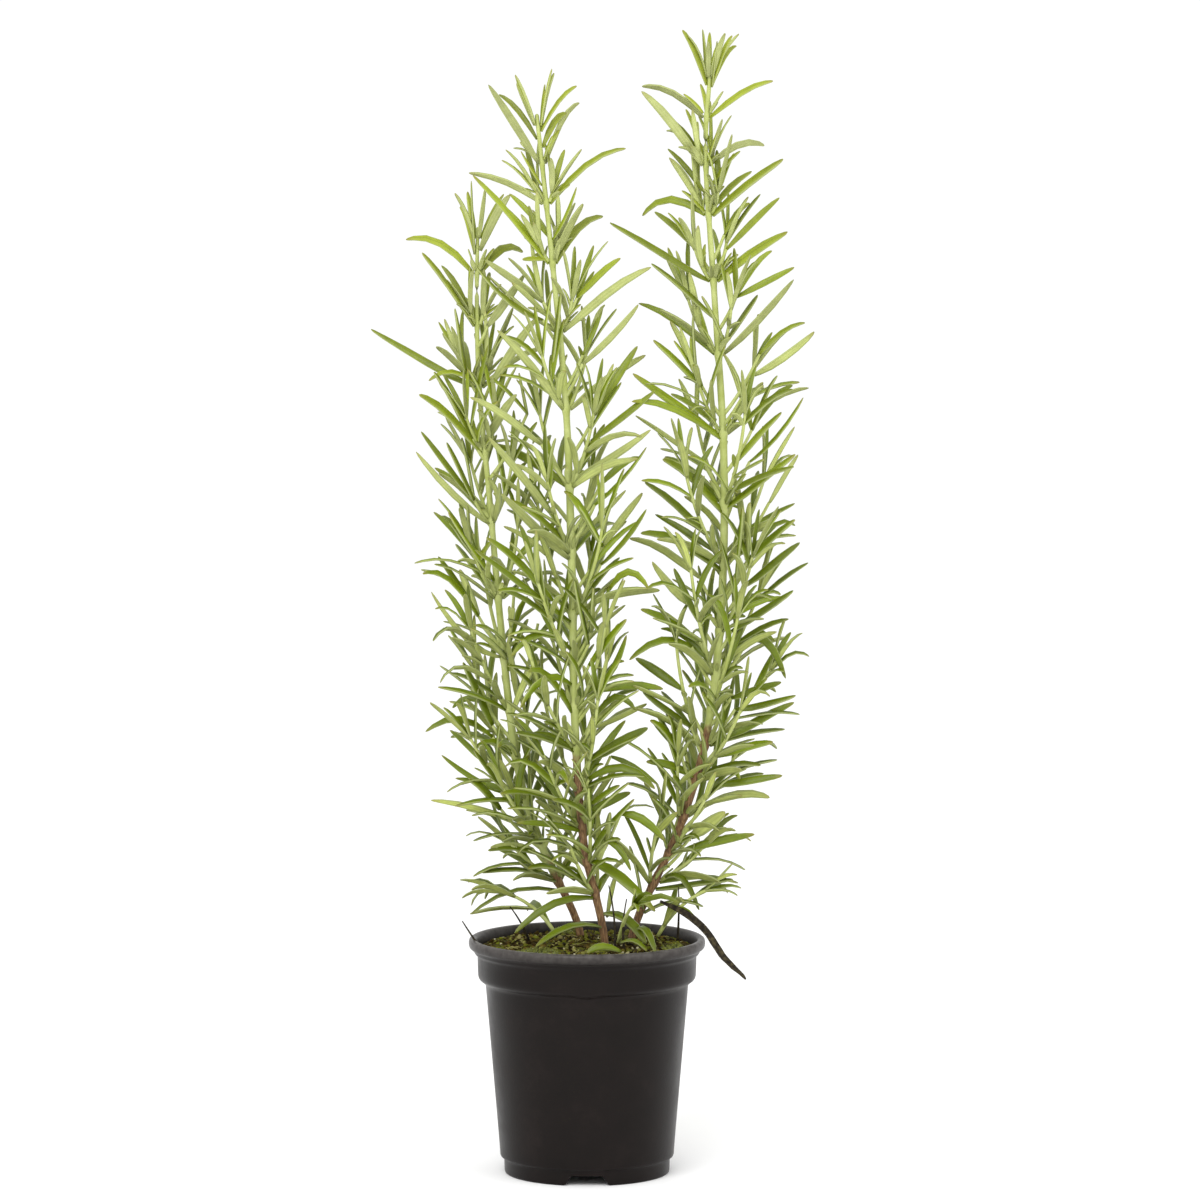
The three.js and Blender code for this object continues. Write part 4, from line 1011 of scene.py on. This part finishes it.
# %% Leaves on twigs
SHORT_TIP_LEAF = 23
TIP_LEAVES_OUT = 0.6  # share of the short leaves at a tip that are left out
SIDE_LEAVES_OUT = 0.7  # share of the short leaves on side sprigs that are left out
LONGER = (1.15, 1.55)
SMALL_LEAF = 22  # smaller leaves are younger than their tier
LONG_LEAF = 40
TURNED_SIDEWAYS = (0.75, 1.3)  # radians that a young long leaf rolls
random = make_random(2027)
tier_faces = 0
for tier in all_tiers:
    bm = bmesh.new()
    bm.verts.layers.float.new("underside")
    age_layer, tone_layer = bm.verts.layers.float.new("age"), bm.verts.layers.float.new("tone")
    wood_layer = bm.verts.layers.float.new("wood")
    bm.loops.layers.uv.new("blade")
    age = tier_ages.get(tier["name"], 1)
    at_tip = tier["name"].endswith("tip_leaves")
    for twig in tier["twigs"]:
        stations = [i / 8 for i in range(9)]
        rings = [ring_at(bow_point(twig["bow"], t), bow_direction(twig["bow"], t),
                         TWIG_RADIUS * (1.2 - 0.35 * t)) for t in stations]
        draw_tube(bm, rings, 7)
    for face in bm.faces:
        face.material_index = 1
    for leaf in tier["leaves"]:
        if at_tip and leaf["length"] < SHORT_TIP_LEAF and random(0, 1) < TIP_LEAVES_OUT:
            continue
        if "place" in leaf and not leaf["solid"]:
            if leaf["place"] < 0.9 and random(0, 1) < SIDE_LEAVES_OUT:
                continue
            longer = random(*LONGER)
            leaf["bow"] = stretched_bow(leaf["bow"], longer)
            leaf["length"] *= longer
        slow = 0.2 if leaf["length"] < SMALL_LEAF and tier["name"] in tier_ages else 0
        hook = leaf["length"] * random(-0.03, 0.12)
        if not leaf["solid"] and random(0, 1) < 0.7 * age:
            hook = leaf["length"] * random(0.1, 0.38)
        slim = random(0.82, 1.04) if tier["name"] in tier_ages else 0.9
        if leaf["solid"] and leaf["length"] > LONG_LEAF and age < 0.5:
            leaf["roll"] = math.copysign(random(*TURNED_SIDEWAYS), leaf["roll"])
        lay_leaf(bm, leaf, leaf["width"] * slim, max(age - slow + random(-0.1, 0.1), 0),
                 random(0, 1), random(-0.7, 0.7), hook)
    tier_faces += len(bm.faces)
    finish_piece(f"{tier['name']}.twin", bm, [leaf_skin, stem_skin], "rosemary_leaf", tier["name"])
print("faces in all the tiers:", tier_faces)

# %% [markdown]
# ## The nursery pot
# A thin-walled pot, injection moulded in black polypropylene: a rolled rim, a straight collar that
# lets pots stack, a tapered wall, and a foot ring with three gaps that let water out. It is a turned
# shape, so its outline is drawn once and spun about the middle. The gaps and the small dips of the
# stacking lugs are pulled into the spun mesh, because they are too shallow to be worth a cut. Its
# finish is satin from the mould with a faint stipple, and handling leaves dust and fine scuffs on it;
# the rim is painted lighter grey in patches, partly scuffs and partly a painted highlight.

# %% Black moulded polypropylene
pot_skin, tree, surface = start_material("black_moulded_polypropylene")
place = add(tree, "ShaderNodeTexCoord")
# Dust lies in patches of 20 mm.
dust = add(tree, "ShaderNodeTexNoise", {"Vector": place.outputs["Object"], "Scale": 45, "Detail": 5,
                                        "Roughness": 0.65})
black = add(tree, "ShaderNodeValToRGB", {0: dust.outputs[0]}, stops=[
    (0.3, srgb("#0e0907")), (0.8, srgb("#1c1513")), (0.55, srgb("#120c0a"))])
# The rim is painted lighter grey in short patches 3 mm long: partly scuffs where hands and other pots
# rub it, partly a painted highlight on the rim.
height = add(tree, "ShaderNodeSeparateXYZ", {0: place.outputs["Object"]})
at_rim = add(tree, "ShaderNodeMapRange", {0: height.outputs[2], 1: 0.1135, 2: 0.12, 3: 0, 4: 1})
rim_patches = add(tree, "ShaderNodeTexNoise", {"Vector": place.outputs["Object"], "Scale": 320, "Detail": 3})
rim_scuff_and_highlight = add(tree, "ShaderNodeMath", {0: at_rim.outputs[0], 1: rim_patches.outputs[0]}, operation="MULTIPLY")
rim_scuffed_and_lit = add(tree, "ShaderNodeMix", {0: rim_scuff_and_highlight.outputs[0], 6: black.outputs[0],
                                   7: srgb("#66625f")}, data_type="RGBA")
tree.links.new(rim_scuffed_and_lit.outputs[2], surface.inputs["Base Color"])
gloss = add(tree, "ShaderNodeMapRange", {0: dust.outputs[0], 1: 0.3, 2: 0.7, 3: 0.28, 4: 0.44})
tree.links.new(gloss.outputs[0], surface.inputs["Roughness"])
surface.inputs["IOR"].default_value = 1.49
surface.inputs["Specular IOR Level"].default_value = 0.14
# The real stipple is finer; it is drawn 1 mm apart so that it shows at all.
stipple = add(tree, "ShaderNodeTexNoise", {"Vector": place.outputs["Object"], "Scale": 900,
                                           "Detail": 2})
relief = add(tree, "ShaderNodeBump", {"Strength": 0.12, "Distance": 0.0003,
                                      "Height": stipple.outputs[0]})
tree.links.new(relief.outputs[0], surface.inputs["Normal"])
print("pot finish:", pot_skin.name)

# %% The pot's outline, from the floor's underside round the rim to the floor's top
POT_OUTLINE = [
    (4.5, 5.6), (14, 5.6), (26, 5.6), (36, 5.6), (39.6, 5.5), (40, 4.6), (40.1, 3.6), (40.1, 2),
    (40.1, 0.4), (40.4, 0), (41.2, 0), (41.8, 0.4), (42, 1.2), (42.05, 2.4), (42.1, 3.8),
    (42.15, 5.2), (42.2, 6.6), (42.4, 7.6), (43.2, 8.2), (43.9, 8.6), (44.2, 9.4), (44.3, 11),
    (45, 20), (46.7, 40), (48.4, 60), (50.1, 80), (51.2, 93), (51.4, 95.6), (51.7, 96.7),
    (52.4, 97.5), (53.4, 98.2), (54.4, 99), (55, 99.9), (55.3, 101), (55.4, 103), (55.5, 107),
    (55.6, 110.6),
    (56, 111.6), (56.8, 112.2), (57.3, 113), (57.4, 114), (58, 114.6), (59, 114.9), (59.7, 115.6),
    (60, 116.8), (60, 118.2), (59.7, 119.3), (58.9, 119.9), (58, 120), (57.1, 119.9),
    (56.4, 119.4), (56, 118.6), (55.6, 117), (54.6, 111), (54.5, 106), (53.1, 102), (50.3, 96),
    (46.5, 50), (43.1, 10), (40.8, 6.8), (36, 6.7), (26, 6.7), (14, 6.7), (4.5, 6.7),
]
print("the pot is", 2 * max(radius for radius, height in POT_OUTLINE), "mm wide at its rim")

# %% Spin the pot
NOTCHES = 3
NOTCH_RISE = 5
NOTCH_HALF = 11.5
NOTCH_SLOPE = 4
FOOT_RADIUS = 41
FOOT_INSIDE = 39.9
FOOT_TOP = 6.6
STEP_INSIDE = 51
STEP_HEIGHTS = (94, 104)
DIP_DEPTH = 1.1
DIP_HALF = 4.5

bm = bmesh.new()
corners = [bm.verts.new((radius, 0, height)) for radius, height in POT_OUTLINE]
edges = [bm.edges.new(pair) for pair in zip(corners, corners[1:] + corners[:1])]
bmesh.ops.spin(bm, geom=corners + edges, cent=(0, 0, 0), axis=(0, 0, 1), angle=2 * math.pi,
               steps=288, use_merge=True)
bmesh.ops.remove_doubles(bm, verts=bm.verts, dist=0.001)
for v in bm.verts:
    radius = math.hypot(v.co.x, v.co.y)
    azimuth = math.atan2(v.co.x, -v.co.y)
    # The ring's lower edge rises over a short slope at each gap; the first gap is at the front.
    turns = (azimuth / (2 * math.pi) * NOTCHES + 0.5) % 1
    off_middle = abs(turns - 0.5) * 2 * math.pi / NOTCHES * FOOT_RADIUS
    slope = min(max((NOTCH_HALF - off_middle) / NOTCH_SLOPE, 0), 1)
    if radius > FOOT_INSIDE and v.co.z < FOOT_TOP:
        rise = NOTCH_RISE * slope * slope * (3 - 2 * slope)
        v.co.z = rise + v.co.z * (FOOT_TOP - rise) / FOOT_TOP
    # Where a stacking lug backs the step inside, the step dips a little.
    if radius > STEP_INSIDE and STEP_HEIGHTS[0] < v.co.z < STEP_HEIGHTS[1]:
        v.co.z -= DIP_DEPTH * math.exp(-(off_middle / DIP_HALF) ** 2)
bmesh.ops.recalc_face_normals(bm, faces=bm.faces)
pot = finish_piece("nursery_pot", bm, [pot_skin], "black_polypropylene", "pot")
print("pot before its holes:", len(pot.data.polygons), "faces")

# %% [markdown]
# ## Drain holes
# Round holes in the pot's floor let the water out. Bmesh has no operator that cuts one shape with
# another, so a Boolean modifier takes six cylinders out of the floor, and its result is kept.

# %% Cut the drain holes
HOLES = 6
HOLE_RING = 26
HOLE_RADIUS = 4.5

bm = bmesh.new()
for k in range(HOLES):
    azimuth = k * math.pi / 3
    hole = Matrix.Translation((HOLE_RING * math.cos(azimuth), HOLE_RING * math.sin(azimuth), 6))
    bmesh.ops.create_cone(bm, cap_ends=True, segments=32, radius1=HOLE_RADIUS,
                          radius2=HOLE_RADIUS, depth=8, matrix=hole)
bmesh.ops.scale(bm, vec=(MM, MM, MM), verts=bm.verts)
mesh = bpy.data.meshes.new("drills")
bm.to_mesh(mesh)
bm.free()
drills = bpy.data.objects.new("drills", mesh)
scene.collection.objects.link(drills)
cut = pot.modifiers.new("drain_holes", "BOOLEAN")
cut.object = drills
cut.operation = "DIFFERENCE"
cut.solver = "EXACT"
drilled = bpy.data.meshes.new_from_object(pot.evaluated_get(bpy.context.evaluated_depsgraph_get()))
pot.modifiers.clear()
pot.data = drilled
bpy.data.objects.remove(drills)
print("pot:", len(pot.data.polygons), "faces,", round(pot.dimensions.z / MM, 2), "mm tall")

# %% [markdown]
# ## Peat
# The pot is full of dark, moist peat with a lumpy, partly mossy crust. A bump alone would look flat
# from this low angle, so the peat's top is a spun sheet with real lumps. The same finish colours the
# crumbs on it: an attribute is 0 on the ground, and gives each crumb its own colour.

# %% Moist peat
peat, tree, surface = start_material("moist_peat_and_perlite")
tint = add(tree, "ShaderNodeAttribute", attribute_name="tint")
place = add(tree, "ShaderNodeTexCoord")
# Crumbs of 2 mm and patches of moss and mineral crust of 15 mm.
fine = add(tree, "ShaderNodeTexNoise", {"Vector": place.outputs["Object"], "Scale": 500,
                                        "Detail": 4, "Roughness": 0.7})
broad = add(tree, "ShaderNodeTexNoise", {"Vector": place.outputs["Object"], "Scale": 65,
                                         "Detail": 3})
crumbly = add(tree, "ShaderNodeValToRGB", {0: fine.outputs[0]}, stops=[
    (0.34, srgb("#150f02")), (0.68, srgb("#666026")), (0.46, srgb("#2f280c")),
    (0.56, srgb("#453d12"))])
mossy = add(tree, "ShaderNodeValToRGB", {0: fine.outputs[0]}, stops=[
    (0.36, srgb("#242504")), (0.66, srgb("#72781c"))])
spread = add(tree, "ShaderNodeMapRange", {0: broad.outputs[0], 1: 0.46, 2: 0.6, 3: 0, 4: 0.85})
ground = add(tree, "ShaderNodeMix", {0: spread.outputs[0], 6: crumbly.outputs[0],
                                     7: mossy.outputs[0]}, data_type="RGBA")
strewn = add(tree, "ShaderNodeValToRGB", {0: tint.outputs["Fac"]}, stops=[
    (0, srgb("#140e02")), (1, srgb("#d4cfb2")), (0.3, srgb("#382b0c")), (0.5, srgb("#605222")),
    (0.7, srgb("#656b18")), (0.88, srgb("#948c5a"))])
is_strewn = add(tree, "ShaderNodeMath", {0: tint.outputs["Fac"], 1: 0.001}, operation="GREATER_THAN")
mix = add(tree, "ShaderNodeMix", {0: is_strewn.outputs[0], 6: ground.outputs[2],
                                  7: strewn.outputs[0]}, data_type="RGBA")
tree.links.new(mix.outputs[2], surface.inputs["Base Color"])
surface.inputs["Specular IOR Level"].default_value = 0.08
damp = add(tree, "ShaderNodeMapRange", {0: fine.outputs[0], 1: 0.35, 2: 0.6, 3: 0.6, 4: 0.95})
tree.links.new(damp.outputs[0], surface.inputs["Roughness"])
relief = add(tree, "ShaderNodeBump", {"Strength": 0.8, "Distance": 0.0012,
                                      "Height": fine.outputs[0]})
tree.links.new(relief.outputs[0], surface.inputs["Normal"])
print("peat finish:", peat.name, "with", len(tree.nodes), "nodes")

# %% The level of the peat
PEAT_EDGE = 115.3
PEAT_RISE = 1.5
PEAT_RADIUS = 54.5
LUMP_HEIGHT = 0.9


def peat_level(x, y):
    """The height of the peat's lumpy top."""
    radius = math.hypot(x, y)
    dome = PEAT_EDGE + PEAT_RISE * (1 - min(radius / PEAT_RADIUS, 1) ** 2)
    lumps = noise.fractal(Vector((x, y, 0)) * 0.12, 0.9, 2.1, 4)
    return dome + LUMP_HEIGHT * lumps


print("the peat's middle is", round(peat_level(0, 0), 1), "mm high")

# %% Fill the pot
PEAT_OUTLINE = [
    (0, 7.1), (20, 7.1), (40, 7.1), (42.7, 10.2), (46, 50), (49.9, 96), (52.7, 102.2), (54.1, 106),
    (54.1, 111), (54.2, 114), (54, 115),
] + [(53.5 - i, 116) for i in range(53)] + [(0, 116)]
bm = bmesh.new()
corners = [bm.verts.new((radius, 0, height)) for radius, height in PEAT_OUTLINE]
edges = [bm.edges.new(pair) for pair in zip(corners, corners[1:])]
bmesh.ops.spin(bm, geom=corners + edges, cent=(0, 0, 0), axis=(0, 0, 1), angle=2 * math.pi,
               steps=240, use_merge=True)
bmesh.ops.remove_doubles(bm, verts=bm.verts, dist=0.001)
bm.verts.layers.float.new("tint")
for v in bm.verts:
    if v.co.z > 115.5:
        v.co.z = peat_level(v.co.x, v.co.y)
bmesh.ops.recalc_face_normals(bm, faces=bm.faces)
print("peat:", len(bm.faces), "faces")
finish_piece("peat", bm, [peat], "peat_potting_mix", "potting_soil")

# %% [markdown]
# ## Fibres, crumbs and perlite
# Peat is full of short fibres and crumbs, and white grains of perlite keep it airy. A particle system
# could strew them, but then they would not be a mesh of their own. So a fibre is a bent tube, and all
# the rest is one small ball, repeated with its own size, squash and turn, and roughened by noise.

# %% Places on the peat
random = make_random(4099)


def on_peat(reach):
    """A random place on the peat, evenly spread out to a reach."""
    radius = reach * math.sqrt(random(0, 1))
    azimuth = random(0, 2 * math.pi)
    x, y = radius * math.cos(azimuth), radius * math.sin(azimuth)
    return Vector((x, y, peat_level(x, y)))


def any_turn():
    return Quaternion(Vector((random(-1, 1), random(-1, 1), random(-1, 1))), random(0, 6)).normalized()


def place_copy(bm, blank, matrix):
    """Adds a copy of a small mesh at a place, and gives back its corners."""
    first = len(bm.verts)
    bm.from_mesh(blank)
    bm.verts.ensure_lookup_table()
    for v in bm.verts[first:]:
        v.co = matrix @ v.co
    return bm.verts[first:]


# %% Strew the fibres
FIBRES = 110
bm = bmesh.new()
tint_layer = bm.verts.layers.float.new("tint")
for number in range(FIBRES):
    start = on_peat(48)
    azimuth = random(0, 2 * math.pi)
    half = Vector((math.cos(azimuth), math.sin(azimuth), random(-0.1, 0.15))) * random(1.5, 4.5)
    lift = Vector((0, 0, random(0.5, 1.4)))
    points = [start - half + lift * 0.4, start + lift + Vector((0, 0, 0.4)), start + half + lift * 0.5]
    rings = [ring_at(point, half, random(0.18, 0.38)) for point in points]
    shade_of = random(0.05, 0.85)
    for corners in draw_tube(bm, rings, 5):
        for v in corners:
            v[tint_layer] = shade_of
print("fibre faces:", len(bm.faces))

# %% Strew the crumbs and the perlite
CRUMBS = 1300
ONE_WHITE_IN = 18
WALL_RADIUS = 53.4
ball = bmesh.new()
bmesh.ops.create_icosphere(ball, subdivisions=1, radius=1)
crumb_blank = bpy.data.meshes.new("crumb_blank")
ball.to_mesh(crumb_blank)
ball.free()
for number in range(CRUMBS):
    white = number % ONE_WHITE_IN == 0
    size = random(0.6, 1.3) if white else random(0.5, 1.6) ** 1.3
    squash = Vector((random(0.7, 1.6), random(0.6, 1.1), random(0.5, 0.9))) * size
    spot = on_peat(WALL_RADIUS - size)
    shade_of = random(0.9, 1) if white else random(0.02, 0.86)
    for v in place_copy(bm, crumb_blank, Matrix.LocRotScale(spot, any_turn(), squash)):
        v.co += (v.co - spot) * 0.5 * noise.noise(v.co * 1.1)
        v[tint_layer] = shade_of
print("litter faces:", len(bm.faces))
finish_piece("crumbs_and_perlite", bm, [peat], "peat_potting_mix")

# %% [markdown]
# ## Moss cushions
# Moss is a mat of upright shoots 1 to 3 mm high. Hair could draw it, but hair leaves no mesh behind,
# so tiny five-sided cones stand close together on a low dome, each leaning its own way.

# %% Olive moss
moss_skin, tree, surface = start_material("olive_cushion_moss")
place = add(tree, "ShaderNodeTexCoord")
tufts = add(tree, "ShaderNodeTexNoise", {"Vector": place.outputs["Object"], "Scale": 650,
                                         "Detail": 3})
olive = add(tree, "ShaderNodeValToRGB", {0: tufts.outputs[0]}, stops=[
    (0.3, srgb("#33350f")), (0.72, srgb("#8f9440")), (0.5, srgb("#5f6524"))])
tree.links.new(olive.outputs[0], surface.inputs["Base Color"])
surface.inputs["Roughness"].default_value = 0.95
surface.inputs["Specular IOR Level"].default_value = 0.14
surface.inputs["Sheen Weight"].default_value = 0.12
relief = add(tree, "ShaderNodeBump", {"Strength": 0.7, "Distance": 0.0008,
                                      "Height": tufts.outputs[0]})
tree.links.new(relief.outputs[0], surface.inputs["Normal"])
print("moss finish:", moss_skin.name)

# %% Moss shoots on low domes
SHOOTS_PER_REACH = 2.6
DOME_HEIGHT = 1.5
cone = bmesh.new()
bmesh.ops.create_cone(cone, cap_ends=True, segments=5, radius1=0.45, radius2=0.08, depth=1)
shoot_blank = bpy.data.meshes.new("moss_shoot_blank")
cone.to_mesh(shoot_blank)
cone.free()
MOSS = {"front_left": (-25, -33, 11), "right": (44, -14, 6.5), "back": (-12, 44, 8)}
for name, (x, y, reach) in MOSS.items():
    bm = bmesh.new()
    dome = bmesh.ops.create_icosphere(bm, subdivisions=4, radius=1)["verts"]
    for v in dome:
        wander = 1 + 0.25 * noise.noise(v.co * 2.2 + Vector((x, y, 0)))
        at_x, at_y = x + v.co.x * reach * wander, y + v.co.y * reach * wander
        lump = 0.5 * noise.noise(Vector((at_x, at_y, 3)) * 0.7)
        rise = DOME_HEIGHT * v.co.z + lump if v.co.z > 0 else v.co.z
        v.co = (at_x, at_y, peat_level(at_x, at_y) + 0.2 + rise)
    for number in range(int(SHOOTS_PER_REACH * reach ** 2)):
        off = reach * math.sqrt(random(0, 1)) * 1.02
        azimuth = random(0, 2 * math.pi)
        at_x, at_y = x + off * math.cos(azimuth), y + off * math.sin(azimuth)
        height = random(1.2, 2.4)
        base = peat_level(at_x, at_y) + DOME_HEIGHT * math.sqrt(max(1 - (off / reach) ** 2, 0))
        lean = Quaternion(Vector((random(-1, 1), random(-1, 1), 0.1)).normalized(), random(-0.7, 0.7))
        spot = Vector((at_x, at_y, base + height / 3))
        place_copy(bm, shoot_blank, Matrix.LocRotScale(spot, lean, Vector((1, 1, height))))
    print("moss", name, "has", len(bm.faces), "faces")
    finish_piece(f"moss_{name}.twin", bm, [moss_skin], "moss", f"moss_{name}")

# %% [markdown]
# ## The withered leaf
# An old leaf has dried and hangs over the rim on the right, folded along its rib and nearly black.
# The leaf blank has too few rows for its long curve, so it is a longer grid of its own, folded and
# laid along the route of its CAD solid. Drying has left it dull, in uneven browns.

# %% Dry brown leaf
dry_skin, tree, surface = start_material("withered_brown_leaf")
place = add(tree, "ShaderNodeTexCoord")
streaks = add(tree, "ShaderNodeTexNoise", {"Vector": place.outputs["Object"], "Scale": 420,
                                           "Detail": 4})
browns = add(tree, "ShaderNodeValToRGB", {0: streaks.outputs[0]}, stops=[
    (0.32, srgb("#15100a")), (0.7, srgb("#4a422b")), (0.5, srgb("#282216"))])
tree.links.new(browns.outputs[0], surface.inputs["Base Color"])
surface.inputs["Roughness"].default_value = 0.75
surface.inputs["Specular IOR Level"].default_value = 0.2
relief = add(tree, "ShaderNodeBump", {"Strength": 0.6, "Distance": 0.0006,
                                      "Height": streaks.outputs[0]})
tree.links.new(relief.outputs[0], surface.inputs["Normal"])
print("dry finish:", dry_skin.name)

# %% The withered leaf's route
WITHERED_ROUTE = [Vector(point) for point in (
    (37, -4, 139), (50, -9, 133), (60, -15, 125), (69, -20, 112), (80, -23, 102))]


def along_route(points, t):
    """A smooth curve through points, with the direction it takes there."""
    padded = [2 * points[0] - points[1], *points, 2 * points[-1] - points[-2]]
    i = min(int(t * (len(points) - 1)), len(points) - 2)
    u = t * (len(points) - 1) - i
    a, b, c, d = padded[i:i + 4]
    point = 0.5 * (2 * b + (c - a) * u + (2 * a - 5 * b + 4 * c - d) * u ** 2
                   + (3 * b - a - 3 * c + d) * u ** 3)
    slope = (c - a) + 2 * (2 * a - 5 * b + 4 * c - d) * u + 3 * (3 * b - a - 3 * c + d) * u ** 2
    return point, slope.normalized()


print("its tip is at", WITHERED_ROUTE[-1][:])

# %% Fold the withered leaf
DRY_HALF_WIDTH = 1.9
bm = bmesh.new()
bmesh.ops.create_grid(bm, x_segments=4, y_segments=28, size=1)
bmesh.ops.solidify(bm, geom=bm.faces[:], thickness=0.2)
thick_top = max(v.co.z for v in bm.verts)
for v in bm.verts:
    t = min(max((v.co.y + 1) / 2, 0), 1)
    point, along = along_route(WITHERED_ROUTE, t)
    side = along.cross(Vector((0, 0, 1))).normalized()
    up = side.cross(along)
    turn = Quaternion(along, 0.9 - 0.5 * t)
    side.rotate(turn)
    up.rotate(turn)
    width = DRY_HALF_WIDTH * min(1, 0.3 + 3 * t) * min(1, math.sqrt(max(1 - t, 0)) * 2.2 + 0.12)
    fold = 0.5 * abs(v.co.x) * width + (0.35 if v.co.z > thick_top - 0.1 else -0.15)
    ripple = 0.5 * noise.noise(point * 0.22 + Vector((v.co.x, 0, 0)))
    v.co = point + side * v.co.x * width + up * (fold + ripple)
bmesh.ops.recalc_face_normals(bm, faces=bm.faces)
print("withered leaf:", len(bm.faces), "faces")
finish_piece("withered_leaf.twin", bm, [dry_skin], "withered_leaf", "withered_leaf")

# %% [markdown]
# ## Dead twigs
# A few thin dead twigs and a dry stalk stand in the peat among the stems. They are tubes along bows,
# like the green twigs, and share the withered leaf's finish.

# %% Dead twigs
DEAD_TWIGS = [
    ((14, -22, 115), (15, -24, 133), (11, -24, 150)),
    ((19, -20, 115), (17, -22, 128), (20, -23, 143)),
    ((-54, -8, 116), (-58, -9, 121.5), (-63, -11, 130)),
    ((-29, 8, 116), (-33, 2, 128), (-39, -2, 136)),
    ((46, 10, 116), (47, 8, 130), (46.5, 6, 145)),
]
bm = bmesh.new()
for points in DEAD_TWIGS:
    base, middle, end = (Vector(point) for point in points)
    bow = dict(base=base, middle=middle, tip=end, length=(end - base).length)
    rings = [ring_at(bow_point(bow, t / 8), bow_direction(bow, t / 8), 0.75 - 0.45 * t / 8)
             for t in range(9)]
    draw_tube(bm, rings, 7)
print("dead twigs:", len(DEAD_TWIGS))
finish_piece("dead_twigs", bm, [dry_skin], "withered_leaf")
